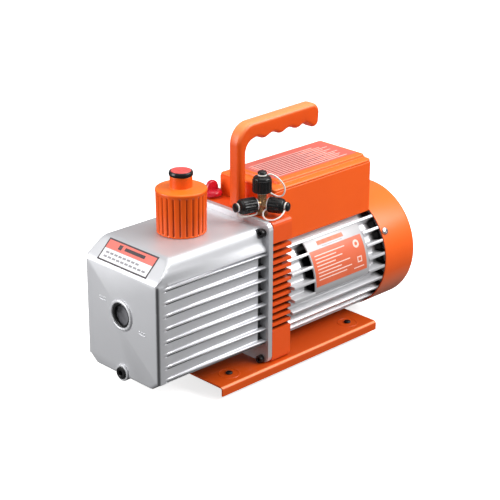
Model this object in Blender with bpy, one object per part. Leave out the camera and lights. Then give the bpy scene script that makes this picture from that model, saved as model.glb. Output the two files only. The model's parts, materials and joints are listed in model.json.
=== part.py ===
"""Rotary vane vacuum pump: oil tank, pump module, fan-cooled motor, base, handle and fittings.

Metres, +Z up. The origin is on the ground under the middle of the pump. +X runs along the shaft from
the oil tank to the fan cover, and -Y is the side with the motor's name plate pad.
"""

from math import cos, pi, radians, sin

import bmesh
import bpy
from mathutils import Matrix, Vector

MM = 0.001
GAP = 0.3 * MM

# Stations along the shaft
OVERALL_LENGTH = 401.0 * MM
NOSE = -OVERALL_LENGTH / 2
TANK_FRONT = NOSE + 4.0 * MM
RIM_FRONT = TANK_FRONT - 2.0 * MM
SLOPE_REAR = TANK_FRONT + 23.3 * MM
FLANGE_FRONT = TANK_FRONT + 155.2 * MM
MODULE_FRONT = FLANGE_FRONT + 6.4 * MM
FLANGE_REAR = MODULE_FRONT - GAP
MODULE_REAR = TANK_FRONT + 190.4 * MM
HOUSING_FRONT = MODULE_REAR + GAP
COVER_FRONT = TANK_FRONT + 344.0 * MM
HOUSING_REAR = TANK_FRONT + 351.0 * MM
COVER_REAR = -NOSE

# Heights
SHAFT_Z = 89.1 * MM
FOOT_HEIGHT = 14.6 * MM
BASE_TOP = 16.9 * MM
MODULE_BOTTOM = BASE_TOP + GAP
MODULE_TOP = 184.4 * MM
TANK_BOTTOM = 33.2 * MM
TANK_TOP = 177.8 * MM
SLOPE_FOOT = 155.8 * MM

# Widths, as distances from the middle plane
FLANGE_HALF = 65.2 * MM
TANK_SIDE_FRONT = 57.8 * MM
TANK_SIDE_REAR = 62.2 * MM
TANK_TOP_HALF = 50.0 * MM
TANK_BOTTOM_HALF = 46.3 * MM
TANK_WALL = 6.5 * MM
BASE_HALF = 71.6 * MM

# Base
BASE_FRONT = TANK_FRONT + 79.4 * MM
BASE_REAR = TANK_FRONT + 331.1 * MM
BASE_LIP = 6.0 * MM
SHEET = 2.0 * MM
BEND = 3.6 * MM
FOOT_X = (TANK_FRONT + 109.1 * MM, TANK_FRONT + 303.2 * MM)
FOOT_Y = 50.6 * MM

# Tank details
RIDGE_COUNT = 8
RIDGE_FIRST_Z = 45.0 * MM
RIDGE_PITCH = 14.75 * MM
RIDGE_THICKNESS = 2.6 * MM
FINS_START = TANK_FRONT + 8.0 * MM
POCKET_START = TANK_FRONT + 147.5 * MM
GROOVE_FLOOR = 57.3 * MM
POCKET_FLOOR = 54.0 * MM
WINDOW_Z = 105.0 * MM
DRAIN_Z = 38.0 * MM
TANK_SCREWS = ((56.5 * MM, 172.8 * MM), (55.5 * MM, 21.5 * MM))
CAP_X = TANK_FRONT + 87.0 * MM
CAP_NECK_RADIUS = 15.0 * MM
CAP_FLOOR = 3.0 * MM

# Pump module and cartridge
MODULE_GROOVES = 13
MODULE_GROOVE_FIRST_Z = 58.6 * MM
MODULE_GROOVE_PITCH = 8.23 * MM
MODULE_GROOVE_HEIGHT = 4.9 * MM
MODULE_GROOVE_DEPTH = 14.0 * MM
CYLINDER_FRONT = TANK_FRONT + 104.0 * MM
BORE_RADIUS = 27.0 * MM
BORE_OFFSET = 3.0 * MM
ROTOR_RADIUS = 23.7 * MM

# Motor
FIN_COUNT = 28
FIN_TIP = 71.5 * MM
FIN_ROOT = 62.0 * MM
FIN_UNDER_COVER = 70.6 * MM
FIN_HALF_THICKNESS = 1.7 * MM
FIRST_FIN_ANGLE = 4.2
HOUSING_BORE = 56.0 * MM
COVER_RADIUS = 72.5 * MM
COVER_WALL = 1.4 * MM
COVER_SCREW_ANGLES = (29, 151, 270)
SHAFT_RADIUS = 7.0 * MM
PAD_FRONT = TANK_FRONT + 223.0 * MM
PAD_REAR = TANK_FRONT + 316.0 * MM
PAD_RADIUS = 70.8 * MM
PAD_ANGLES = (134.0, 185.5)

# Rear grille: each ring of slots has an inner and outer radius in millimetres, a count and an open share
GRILLE_RINGS = ((14, 26, 6, 0.78), (31, 43, 8, 0.8), (48, 58, 12, 0.82))

# Electrical box
BOX_FRONT = TANK_FRONT + 185.0 * MM
BOX_REAR = COVER_FRONT - GAP
BOX_HALF = 43.5 * MM
BOX_TOP = 206.9 * MM
LID_TOP = 215.1 * MM
LID_STEP = 211.2 * MM
PLATEAU_FRONT = TANK_FRONT + 200.0 * MM
PLATEAU_REAR = TANK_FRONT + 341.0 * MM
PLATEAU_HALF = 34.6 * MM
SWITCH_X = TANK_FRONT + 292.0 * MM
INLET_X = TANK_FRONT + 248.0 * MM
SOCKET_Z = 181.0 * MM

# Handle
POST_FRONT = TANK_FRONT + 164.3 * MM
POST_REAR = TANK_FRONT + 176.8 * MM
HANDLE_HALF = 8.5 * MM
GRIP_TOP = 281.6 * MM
GRIP_UNDER = 258.9 * MM
HANDLE_REAR = TANK_FRONT + 293.5 * MM
SCALLOP_PITCH = 26.0 * MM
SCALLOP_DEPTH = 1.8 * MM

# Intake fitting: three capped ports, one up and two to the sides
INTAKE = Vector((TANK_FRONT + 172.0 * MM, -37.0 * MM, 197.0 * MM))
PORT_ANGLES = {"left": 163.0, "right": -66.0}
NECK_RADIUS = 5.0 * MM
PORT_LENGTH = 18.0 * MM
TOP_PORT_OFFSET = 5.2 * MM
CAP_START = 8.7 * MM
CAP_LENGTHS = {"top": 17.8 * MM, "left": 20.3 * MM, "right": 17.8 * MM}
CAP_RADII = {"top": 10.0 * MM, "left": 8.2 * MM, "right": 8.2 * MM}
BUTTON_LENGTH = 6.1 * MM

# Tether strands: (distance along the port, distance sideways) in millimetres
TETHER_ROUTES = {
    "top": (
        (7.8, 7), (5.8, 11), (2.8, 17), (4, 22.5), (10, 24.8), (17, 23), (24, 17), (28, 10.5), (27.9, 5.9),
    ),
    "left": ((8, 7), (7.8, 10.3), (14, 11.3), (22, 11.3), (29, 9.8), (30.4, 5.9)),
    "right": ((7.8, 7), (5.5, 11), (7, 17), (12.5, 21), (19.5, 20.5), (25, 16), (27.6, 10), (27.9, 5.9)),
}

# Gas ballast valve
BALLAST = Vector((TANK_FRONT + 171.4 * MM, 42.5 * MM, MODULE_TOP))


def clear_scene():
    for existing in list(bpy.data.objects):
        bpy.data.objects.remove(existing, do_unlink=True)


def material(name, colour, roughness, metallic=0.0):
    made = bpy.data.materials.new(name)
    made.use_nodes = True
    shader = made.node_tree.nodes["Principled BSDF"]
    shader.inputs["Base Color"].default_value = (*colour, 1.0)
    shader.inputs["Roughness"].default_value = roughness
    shader.inputs["Metallic"].default_value = metallic
    return made


def place(name, bm, look, origin=(0.0, 0.0, 0.0), smooth=True):
    """Make an object whose mesh is in world coordinates and whose origin is at the given point."""
    bmesh.ops.translate(bm, vec=-Vector(origin), verts=bm.verts)
    mesh = bpy.data.meshes.new(name)
    bm.to_mesh(mesh)
    bm.free()
    made = bpy.data.objects.new(name, mesh)
    made.location = origin
    bpy.context.scene.collection.objects.link(made)
    mesh.materials.append(look)
    if smooth:
        mesh.shade_smooth()
        mesh.set_sharp_from_angle(angle=radians(30))
    return made


def prism(outline, axis, start, end):
    """Solid with a flat outline, extruded along X (outline in y, z), Y (x, z) or Z (x, y)."""
    turn = {"X": (2, 0, 1), "Y": (0, 2, 1), "Z": (0, 1, 2)}[axis]
    bm = bmesh.new()
    first = []
    second = []
    for u, v in outline:
        near, far = (u, v, start), (u, v, end)
        first.append(bm.verts.new([near[i] for i in turn]))
        second.append(bm.verts.new([far[i] for i in turn]))
    count = len(outline)
    bm.faces.new(first)
    bm.faces.new(second)
    for k in range(count):
        j = (k + 1) % count
        bm.faces.new((first[k], first[j], second[j], second[k]))
    bmesh.ops.recalc_face_normals(bm, faces=bm.faces)
    return bm


def box(x0, x1, y0, y1, z0, z1):
    return prism(((x0, y0), (x1, y0), (x1, y1), (x0, y1)), "Z", z0, z1)


def turned(profile, steps, centre=(0.0, 0.0, 0.0), axis=(0.0, 0.0, 1.0), ring=False):
    """Solid of revolution; the profile lists (radius, distance along the axis) points."""
    bm = bmesh.new()
    loops = []
    for radius, along in profile:
        if radius == 0.0:
            loops.append([bm.verts.new((0.0, 0.0, along))])
            continue
        angles = [2 * pi * k / steps for k in range(steps)]
        loops.append([bm.verts.new((radius * cos(a), radius * sin(a), along)) for a in angles])
    pairs = list(zip(loops, loops[1:]))
    if ring:
        pairs.append((loops[-1], loops[0]))
    for low, high in pairs:
        for k in range(steps):
            j = k + 1
            corners = (low[k % len(low)], low[j % len(low)], high[j % len(high)], high[k % len(high)])
            bm.faces.new(list(dict.fromkeys(corners)))
    bmesh.ops.recalc_face_normals(bm, faces=bm.faces)
    tilt = Vector((0.0, 0.0, 1.0)).rotation_difference(Vector(axis)).to_matrix().to_4x4()
    bmesh.ops.transform(bm, matrix=Matrix.Translation(Vector(centre)) @ tilt, verts=bm.verts)
    return bm


def rod(radius, start, end, steps, centre=(0.0, 0.0, 0.0), axis=(0.0, 0.0, 1.0)):
    return turned(((0.0, start), (radius, start), (radius, end), (0.0, end)), steps, centre, axis)


def tube(inner, outer, start, end, steps, centre=(0.0, 0.0, 0.0), axis=(0.0, 0.0, 1.0)):
    profile = ((inner, start), (outer, start), (outer, end), (inner, end))
    return turned(profile, steps, centre, axis, ring=True)


def shaft_rod(radius, start, end, steps):
    return rod(radius, start, end, steps, (0.0, 0.0, SHAFT_Z), (1.0, 0.0, 0.0))


def shaft_tube(inner, outer, start, end, steps):
    return tube(inner, outer, start, end, steps, (0.0, 0.0, SHAFT_Z), (1.0, 0.0, 0.0))


def gathered(parts):
    """Put several separate solids in one mesh."""
    bm = bmesh.new()
    for part in parts:
        carrier = bpy.data.meshes.new("carrier")
        part.to_mesh(carrier)
        part.free()
        bm.from_mesh(carrier)
        bpy.data.meshes.remove(carrier)
    return bm


def combine(target, parts, operation):
    """Boolean the target with solids given in world coordinates."""
    number = len(target.modifiers)
    bm = gathered(parts)
    bmesh.ops.translate(bm, vec=-target.location, verts=bm.verts)
    mesh = bpy.data.meshes.new(f"{target.name}_tool_{number}")
    bm.to_mesh(mesh)
    bm.free()
    tool = bpy.data.objects.new(mesh.name, mesh)
    tool.location = target.location
    tool.hide_render = True
    tool.display_type = "WIRE"
    bpy.context.scene.collection.objects.link(tool)
    boolean = target.modifiers.new(f"{operation.lower()}_{number}", "BOOLEAN")
    boolean.operation = operation
    boolean.solver = "EXACT"
    boolean.object = tool


def cut(target, *parts):
    combine(target, parts, "DIFFERENCE")


def add(target, *parts):
    combine(target, parts, "UNION")


def arc(u, v, radius, start, end, steps):
    """Points of an arc, angles in degrees, both ends included."""
    angles = [radians(start + (end - start) * k / steps) for k in range(steps + 1)]
    return [(u + radius * cos(a), v + radius * sin(a)) for a in angles]


def rounded_rectangle(u0, u1, v0, v1, radius, steps=3):
    points = arc(u1 - radius, v1 - radius, radius, 0, 90, steps)
    points += arc(u0 + radius, v1 - radius, radius, 90, 180, steps)
    points += arc(u0 + radius, v0 + radius, radius, 180, 270, steps)
    points += arc(u1 - radius, v0 + radius, radius, 270, 360, steps)
    return points


def mirrored(half):
    """Close an outline from its +u half, listed from bottom to top."""
    return list(half) + [(-u, v) for u, v in reversed(half)]


# Base -----------------------------------------------------------------------------------------------


def base_plate():
    lip_in = BASE_HALF - SHEET
    under = BASE_TOP - SHEET
    inner_bend = BEND - SHEET
    outer = [(BASE_HALF, BASE_LIP)] + arc(BASE_HALF - BEND, BASE_TOP - BEND, BEND, 0, 90, 4)
    inner = [(lip_in, BASE_LIP)] + arc(lip_in - inner_bend, under - inner_bend, inner_bend, 0, 90, 4)
    outline = outer + [(-u, v) for u, v in reversed(outer)]
    outline += [(-u, v) for u, v in inner] + list(reversed(inner))
    plate = place("base_plate", prism(outline, "X", BASE_FRONT, BASE_REAR), ORANGE)
    holes = [rod(2.8 * MM, under - 1 * MM, BASE_TOP + 1 * MM, 12, (x, y, 0.0)) for x, y in foot_places()]
    cut(plate, *holes)


def foot_places():
    return [(x, side * FOOT_Y) for x in FOOT_X for side in (-1, 1)]


def feet():
    for number, (x, y) in enumerate(foot_places(), start=1):
        profile = (
            (0.0, 0.0),
            (8.5 * MM, 0.0),
            (9.5 * MM, 1.2 * MM),
            (8.0 * MM, FOOT_HEIGHT),
            (2.6 * MM, FOOT_HEIGHT),
            (2.6 * MM, 6.0 * MM),
            (0.0, 6.0 * MM),
        )
        place(f"foot_{number}", turned(profile, 16, (x, y, 0.0)), RUBBER, (x, y, 0.0))
        screw = turned(pan_screw(3.9 * MM, 7.0 * MM), 12, (x, y, BASE_TOP + GAP))
        place(f"foot_screw_{number}", screw, BLACK_STEEL)


def pan_screw(head_radius, reach):
    """Profile of a domed screw: the head stands on 0 and the shank goes down."""
    return (
        (0.0, -reach),
        (2.2 * MM, -reach),
        (2.2 * MM, 0.0),
        (head_radius, 0.0),
        (head_radius, 1.0 * MM),
        (head_radius * 0.6, 2.4 * MM),
        (0.0, 2.4 * MM),
    )


# Oil tank -------------------------------------------------------------------------------------------


def tank_half_outline(side, inset):
    """Right half of the tank's cross-section, bottom to top, moved inwards by an inset."""
    return [
        (TANK_BOTTOM_HALF - inset * 0.6, TANK_BOTTOM + inset),
        (side - inset, 47.0 * MM + inset * 0.4),
        (side - inset, 149.0 * MM - inset * 0.2),
        (55.6 * MM - inset, 163.0 * MM - inset * 0.4),
        (52.6 * MM - inset, 174.6 * MM - inset),
        (51.0 * MM - inset, 175.4 * MM - inset),
        (TANK_TOP_HALF - inset, TANK_TOP - inset),
    ]


def tank_body(front, rear, front_side, rear_side, inset):
    """Drafted body between two stations, with the sloping top front cut off."""
    bm = bmesh.new()
    loops = []
    for x, side in ((front, front_side), (rear, rear_side)):
        loops.append([bm.verts.new((x, u, v)) for u, v in mirrored(tank_half_outline(side, inset))])
    count = len(loops[0])
    bm.faces.new(loops[0])
    bm.faces.new(loops[1])
    for k in range(count):
        j = (k + 1) % count
        bm.faces.new((loops[0][k], loops[0][j], loops[1][j], loops[1][k]))
    run = SLOPE_REAR - TANK_FRONT
    rise = TANK_TOP - SLOPE_FOOT
    normal = Vector((-rise, 0.0, run)).normalized()
    point = Vector((TANK_FRONT, 0.0, SLOPE_FOOT)) - normal * inset
    everything = bm.verts[:] + bm.edges[:] + bm.faces[:]
    sliced = bmesh.ops.bisect_plane(bm, geom=everything, plane_co=point, plane_no=normal, clear_outer=True)
    rim = [item for item in sliced["geom_cut"] if isinstance(item, bmesh.types.BMEdge)]
    bmesh.ops.contextual_create(bm, geom=rim)
    bmesh.ops.recalc_face_normals(bm, faces=bm.faces)
    return bm


def tank_screw_places():
    return [(side * y, z) for y, z in TANK_SCREWS for side in (-1, 1)]


def oil_tank():
    body = tank_body(TANK_FRONT, FLANGE_FRONT - GAP, TANK_SIDE_FRONT, TANK_SIDE_REAR, 0.0)
    front_edges = [e for e in body.edges if all(abs(v.co.x - TANK_FRONT) < 1e-6 for v in e.verts)]
    bmesh.ops.bevel(body, geom=front_edges, offset=3.5 * MM, segments=2, profile=0.5, affect="EDGES")
    tank = place("oil_tank", body, CAST_ALUMINIUM)

    recesses = []
    for y, z in tank_screw_places():
        recesses.append(rod(6.4 * MM, POCKET_START, FLANGE_FRONT, 16, (0.0, y, z), (1, 0, 0)))
    cut(tank, *recesses)

    grooves = []
    for k in range(RIDGE_COUNT - 1):
        low = RIDGE_FIRST_Z + k * RIDGE_PITCH + RIDGE_THICKNESS / 2
        high = RIDGE_FIRST_Z + (k + 1) * RIDGE_PITCH - RIDGE_THICKNESS / 2
        for side in (-1, 1):
            outline = (
                (FINS_START, side * 66.0 * MM),
                (FLANGE_FRONT, side * 66.0 * MM),
                (FLANGE_FRONT, side * POCKET_FLOOR),
                (POCKET_START, side * POCKET_FLOOR),
                (POCKET_START, side * GROOVE_FLOOR),
                (FINS_START, side * GROOVE_FLOOR),
            )
            grooves.append(prism(outline, "Z", low, high))
    cut(tank, *grooves)

    add(tank, rod(17.0 * MM, RIM_FRONT, TANK_FRONT + 2 * MM, 32, (0.0, 0.0, WINDOW_Z), (1, 0, 0)))
    add(tank, rod(9.5 * MM, RIM_FRONT, TANK_FRONT + 20 * MM, 24, (0.0, 0.0, DRAIN_Z), (1, 0, 0)))

    cavity = tank_body(TANK_FRONT + 8 * MM, FLANGE_REAR, TANK_SIDE_FRONT, TANK_SIDE_FRONT, TANK_WALL)
    cut(tank, cavity)
    window = turned(
        (
            (0.0, NOSE - 1 * MM),
            (14.0 * MM, NOSE - 1 * MM),
            (14.0 * MM, TANK_FRONT + 6 * MM),
            (11.5 * MM, TANK_FRONT + 6 * MM),
            (11.5 * MM, TANK_FRONT + 12 * MM),
            (0.0, TANK_FRONT + 12 * MM),
        ),
        32,
        (0.0, 0.0, WINDOW_Z),
        (1, 0, 0),
    )
    drain = rod(5.6 * MM, NOSE - 1 * MM, TANK_FRONT + 14 * MM, 16, (0.0, 0.0, DRAIN_Z), (1, 0, 0))
    filler = rod(CAP_NECK_RADIUS + GAP, TANK_TOP - 12 * MM, TANK_TOP + 2 * MM, 32, (CAP_X, 0.0, 0.0))
    cut(tank, window, drain, filler)


def tank_flange():
    """Rear plate of the tank, which is screwed to the pump module."""
    outline = rounded_rectangle(-FLANGE_HALF, FLANGE_HALF, MODULE_BOTTOM, MODULE_TOP, 8.0 * MM)
    flange = place("tank_flange", prism(outline, "X", FLANGE_FRONT, FLANGE_REAR), CAST_ALUMINIUM)
    before = FLANGE_FRONT - 1 * MM
    behind = FLANGE_REAR + 1 * MM
    cuts = [prism(mirrored(tank_half_outline(TANK_SIDE_FRONT, TANK_WALL)), "X", before, behind)]
    for y, z in tank_screw_places():
        cuts.append(rod(2.8 * MM, before, behind, 12, (0.0, y, z), (1, 0, 0)))
    cut(flange, *cuts)


def tank_screws():
    for number, (y, z) in enumerate(tank_screw_places(), start=1):
        profile = (
            (0.0, -16.0 * MM),
            (2.5 * MM, -16.0 * MM),
            (2.5 * MM, 0.0),
            (4.5 * MM, 0.0),
            (4.5 * MM, 5.2 * MM),
            (2.4 * MM, 5.2 * MM),
            (2.4 * MM, 3.0 * MM),
            (0.0, 3.0 * MM),
        )
        screw = turned(profile, 12, (FLANGE_FRONT - GAP, y, z), (-1, 0, 0))
        place(f"tank_screw_{number}", screw, BLACK_STEEL)


def sight_glass():
    centre = (0.0, 0.0, WINDOW_Z)
    lens = ((0.0, 0.0), (13.6 * MM, 0.0), (13.6 * MM, 2.2 * MM), (0.0, 2.8 * MM))
    place("sight_glass", turned(lens, 32, (TANK_FRONT + 5.6 * MM, 0.0, WINDOW_Z), (-1, 0, 0)), GLASS)
    start, end = RIM_FRONT + 0.8 * MM, TANK_FRONT + 2.5 * MM
    retainer = tube(11.0 * MM, 13.6 * MM, start, end, 32, centre, (1, 0, 0))
    place("sight_retainer", retainer, BLACK_PLASTIC)


def drain():
    head = (RIM_FRONT, 0.0, DRAIN_Z)
    washer = tube(5.6 * MM, 8.4 * MM, GAP, 1.3 * MM, 16, head, (-1, 0, 0))
    place("drain_washer", washer, RUBBER, head)
    profile = (
        (0.0, -10.0 * MM),
        (5.2 * MM, -10.0 * MM),
        (5.2 * MM, 1.6 * MM),
        (7.4 * MM, 1.6 * MM),
        (7.0 * MM, 2.0 * MM),
        (3.2 * MM, 2.0 * MM),
        (3.2 * MM, -3.0 * MM),
        (0.0, -3.0 * MM),
    )
    place("drain_plug", turned(profile, 16, head, (-1, 0, 0)), BLACK_STEEL, head)


# Exhaust cap ----------------------------------------------------------------------------------------


def exhaust_cap():
    base = TANK_TOP + GAP
    foot = (CAP_X, 0.0, base)
    profile = (
        (CAP_NECK_RADIUS + GAP, 0.0),
        (27.2 * MM, 0.0),
        (27.8 * MM, 44.0 * MM),
        (28.2 * MM, 47.0 * MM),
        (26.4 * MM, 49.2 * MM),
        (12.2 * MM, 49.4 * MM),
        (12.2 * MM, 62.6 * MM),
        (9.6 * MM, 62.6 * MM),
        (9.6 * MM, 46.6 * MM),
        (25.0 * MM, 46.6 * MM),
        (25.0 * MM, CAP_FLOOR),
        (CAP_NECK_RADIUS + GAP, CAP_FLOOR),
    )
    cap = place("exhaust_cap", turned(profile, 36, foot, ring=True), ORANGE, foot)
    flutes = []
    for k in range(24):
        a = 2 * pi * (k + 0.5) / 24
        radial = Vector((cos(a), sin(a)))
        across = Vector((-sin(a), cos(a)))
        wide = across * 2.2 * MM
        corners = (radial * 29 * MM - wide, radial * 26.4 * MM, radial * 29 * MM + wide)
        outline = [(CAP_X + c.x, c.y) for c in corners]
        flutes.append(prism(outline, "Z", base + 1.5 * MM, base + 43.5 * MM))
    cut(cap, *flutes)
    flange = CAP_FLOOR + GAP
    spigot = (
        (CAP_NECK_RADIUS - 3 * MM, -10.0 * MM),
        (CAP_NECK_RADIUS, -10.0 * MM),
        (CAP_NECK_RADIUS, flange),
        (CAP_NECK_RADIUS + 3 * MM, flange),
        (CAP_NECK_RADIUS + 3 * MM, flange + 1 * MM),
        (CAP_NECK_RADIUS - 3 * MM, flange + 1 * MM),
    )
    place("exhaust_spigot", turned(spigot, 24, foot, ring=True), ORANGE, foot)
    felt = tube(8.0 * MM, 24.4 * MM, flange + 1 * MM + GAP, 46.0 * MM, 24, foot)
    place("mist_filter", felt, FILTER, foot)
    top = base + 62.6 * MM + GAP
    plug = (
        (0.0, -9.0 * MM),
        (9.2 * MM, -9.0 * MM),
        (9.2 * MM, 0.0),
        (12.9 * MM, 0.0),
        (13.2 * MM, 2.4 * MM),
        (12.4 * MM, 5.0 * MM),
        (0.0, 6.0 * MM),
    )
    place("exhaust_plug", turned(plug, 32, (CAP_X, 0.0, top)), BLACK_PLASTIC, (CAP_X, 0.0, top))


# Pump module and cartridge --------------------------------------------------------------------------


def pump_module():
    outline = rounded_rectangle(-FLANGE_HALF, FLANGE_HALF, MODULE_BOTTOM, MODULE_TOP, 5.0 * MM)
    module = place("pump_module", prism(outline, "X", MODULE_FRONT, MODULE_REAR), ORANGE)
    grooves = []
    for k in range(MODULE_GROOVES):
        middle = MODULE_GROOVE_FIRST_Z + k * MODULE_GROOVE_PITCH
        low = middle - MODULE_GROOVE_HEIGHT / 2
        high = middle + MODULE_GROOVE_HEIGHT / 2
        for side in (-1, 1):
            inner = side * (FLANGE_HALF - MODULE_GROOVE_DEPTH)
            outer = side * (FLANGE_HALF + 2 * MM)
            y0, y1 = sorted((inner, outer))
            grooves.append(box(MODULE_FRONT - 1 * MM, MODULE_REAR + 1 * MM, y0, y1, low, high))
    cut(module, *grooves)
    bore = turned(
        (
            (0.0, MODULE_FRONT - 1 * MM),
            (11.3 * MM, MODULE_FRONT - 1 * MM),
            (11.3 * MM, MODULE_FRONT + 5.5 * MM),
            (18.0 * MM, MODULE_FRONT + 5.5 * MM),
            (18.0 * MM, MODULE_FRONT + 18.6 * MM),
            (20.3 * MM, MODULE_FRONT + 18.6 * MM),
            (20.3 * MM, MODULE_REAR + 1 * MM),
            (0.0, MODULE_REAR + 1 * MM),
        ),
        32,
        (0.0, 0.0, SHAFT_Z),
        (1, 0, 0),
    )
    holes = [bore]
    for y, z in TANK_SCREWS:
        for side in (-1, 1):
            start = MODULE_FRONT - 1 * MM
            holes.append(rod(2.8 * MM, start, start + 12 * MM, 12, (0.0, side * y, z), (1, 0, 0)))
    holes.append(rod(6.0 * MM, MODULE_TOP - 12 * MM, MODULE_TOP + 1 * MM, 16, (INTAKE.x, INTAKE.y, 0.0)))
    holes.append(rod(4.3 * MM, MODULE_TOP - 12 * MM, MODULE_TOP + 1 * MM, 12, (BALLAST.x, BALLAST.y, 0.0)))
    cut(module, *holes)


def cartridge():
    rear = MODULE_FRONT - GAP
    half = 35.0 * MM
    outline = rounded_rectangle(-half, half, SHAFT_Z - half, SHAFT_Z + half, 12.0 * MM)
    cylinder = place("pump_cylinder", prism(outline, "X", CYLINDER_FRONT, rear), CAST_IRON)
    bore_axis = (0.0, 0.0, SHAFT_Z + BORE_OFFSET)
    cut(cylinder, rod(BORE_RADIUS, CYLINDER_FRONT - 1 * MM, rear + 1 * MM, 32, bore_axis, (1, 0, 0)))
    cover = prism(outline, "X", CYLINDER_FRONT - 8.3 * MM, CYLINDER_FRONT - GAP)
    place("pump_end_cover", cover, CAST_IRON)
    valve_floor = SHAFT_Z + half + GAP
    valve_front = CYLINDER_FRONT + 14 * MM
    valve = box(valve_front, valve_front + 30 * MM, -11 * MM, 11 * MM, valve_floor, valve_floor + 4 * MM)
    place("exhaust_valve", valve, STEEL, smooth=False)

    axis_point = (CYLINDER_FRONT + GAP, 0.0, SHAFT_Z)
    length = rear - CYLINDER_FRONT - 2 * GAP
    journal_end = MODULE_FRONT + 12.6 * MM - CYLINDER_FRONT
    profile = (
        (0.0, 0.0),
        (ROTOR_RADIUS, 0.0),
        (ROTOR_RADIUS, length),
        (SHAFT_RADIUS, length),
        (SHAFT_RADIUS, journal_end),
        (0.0, journal_end),
    )
    rotor = place("pump_rotor", turned(profile, 32, axis_point, (1, 0, 0)), STEEL, axis_point)
    slot_end = CYLINDER_FRONT + 50 * MM
    slot = box(
        CYLINDER_FRONT - 1 * MM, slot_end, -1.8 * MM, 1.8 * MM, SHAFT_Z - 26 * MM, SHAFT_Z + 26 * MM
    )
    cut(rotor, slot)
    for number, side in ((1, 1), (2, -1)):
        z0, z1 = sorted((SHAFT_Z + side * 6.0 * MM, SHAFT_Z + side * 23.0 * MM))
        vane = box(CYLINDER_FRONT + 2 * GAP, slot_end - GAP, -1.5 * MM, 1.5 * MM, z0, z1)
        place(f"vane_{number}", vane, VANE, axis_point, smooth=False)


# Motor ----------------------------------------------------------------------------------------------


def fin_outline(tip):
    """Cross-section of the finned motor housing around the shaft."""
    points = []
    for k in range(FIN_COUNT):
        middle = radians(FIRST_FIN_ANGLE + k * 360 / FIN_COUNT)
        for radius, side in ((FIN_ROOT, -1), (tip, -1), (tip, 1), (FIN_ROOT, 1)):
            spread = side * FIN_HALF_THICKNESS / radius
            points.append((radius * cos(middle + spread), SHAFT_Z + radius * sin(middle + spread)))
    return points


def motor_housing():
    fins = prism(fin_outline(FIN_TIP), "X", HOUSING_FRONT, HOUSING_REAR)
    housing = place("motor_housing", fins, BRUSHED_ALUMINIUM, smooth=False)
    under_cover = (COVER_FRONT - GAP, HOUSING_REAR + 1 * MM)
    cut(housing, shaft_tube(FIN_UNDER_COVER, FIN_TIP + 4 * MM, *under_cover, 56))
    start, end = PAD_ANGLES
    sector = arc(0.0, SHAFT_Z, PAD_RADIUS, start, end, 10)
    sector += arc(0.0, SHAFT_Z, FIN_ROOT - 2 * MM, end, start, 10)
    add(housing, prism(sector, "X", PAD_FRONT, PAD_REAR))
    cut(housing, shaft_rod(HOUSING_BORE, HOUSING_FRONT - 1 * MM, HOUSING_REAR + 1 * MM, 48))


def motor_inside():
    shaft_start = MODULE_FRONT + 13.4 * MM
    shaft_end = COVER_REAR - 12 * MM
    axis_point = (shaft_start, 0.0, SHAFT_Z)
    place("motor_shaft", shaft_rod(SHAFT_RADIUS, shaft_start, shaft_end, 16), STEEL, axis_point)
    fit = SHAFT_RADIUS + GAP
    coupling = shaft_tube(fit, 14.0 * MM, MODULE_FRONT + 6.4 * MM, MODULE_FRONT + 18.0 * MM, 16)
    place("shaft_coupling", coupling, STEEL, axis_point)
    bearing = shaft_tube(fit, 20.0 * MM, MODULE_FRONT + 19.0 * MM, MODULE_REAR - GAP, 16)
    place("bearing_front", bearing, STEEL)
    core_front = TANK_FRONT + 222 * MM
    core_rear = TANK_FRONT + 302 * MM
    rotor = shaft_tube(fit, 32.4 * MM, core_front + 2 * MM, core_rear - 2 * MM, 24)
    place("motor_rotor", rotor, STEEL, axis_point)
    stator = turned(
        (
            (33.4 * MM, core_front - 14 * MM),
            (52.0 * MM, core_front - 14 * MM),
            (52.0 * MM, core_front),
            (55.6 * MM, core_front),
            (55.6 * MM, core_rear),
            (52.0 * MM, core_rear),
            (52.0 * MM, core_rear + 14 * MM),
            (33.4 * MM, core_rear + 14 * MM),
        ),
        32,
        (0.0, 0.0, SHAFT_Z),
        (1, 0, 0),
        ring=True,
    )
    place("motor_stator", stator, COPPER)
    seat = HOUSING_REAR - 7 * MM
    bell = turned(
        (
            (8.0 * MM, seat + 10 * MM),
            (20.3 * MM, seat + 10 * MM),
            (20.3 * MM, seat),
            (26.0 * MM, seat),
            (26.0 * MM, HOUSING_REAR + GAP),
            (69.5 * MM, HOUSING_REAR + GAP),
            (69.5 * MM, HOUSING_REAR + 4 * MM),
            (26.0 * MM, seat + 13 * MM),
            (8.0 * MM, seat + 13 * MM),
        ),
        32,
        (0.0, 0.0, SHAFT_Z),
        (1, 0, 0),
        ring=True,
    )
    place("motor_end_bell", bell, CAST_ALUMINIUM)
    place("bearing_rear", shaft_tube(fit, 20.0 * MM, seat + GAP, seat + 10 * MM - GAP, 16), STEEL)


def cooling_fan():
    front = HOUSING_REAR + 10 * MM
    hub_end = COVER_REAR - 14 * MM
    axis_point = (front, 0.0, SHAFT_Z)
    hub = shaft_tube(SHAFT_RADIUS + GAP, 16.0 * MM, front, hub_end, 24)
    fan = place("cooling_fan", hub, BLACK_PLASTIC, axis_point)
    for k in range(4):
        a = radians(22.5 + 45 * k)
        radial = Vector((cos(a), sin(a)))
        across = Vector((-sin(a), cos(a))) * 1.0 * MM
        for side in (-1, 1):
            near = radial * side * 13 * MM
            far = radial * side * 60 * MM
            corners = (near - across, far - across, far + across, near + across)
            outline = [(c.x, SHAFT_Z + c.y) for c in corners]
            add(fan, prism(outline, "X", front + 2 * MM, hub_end - 2 * MM))


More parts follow.
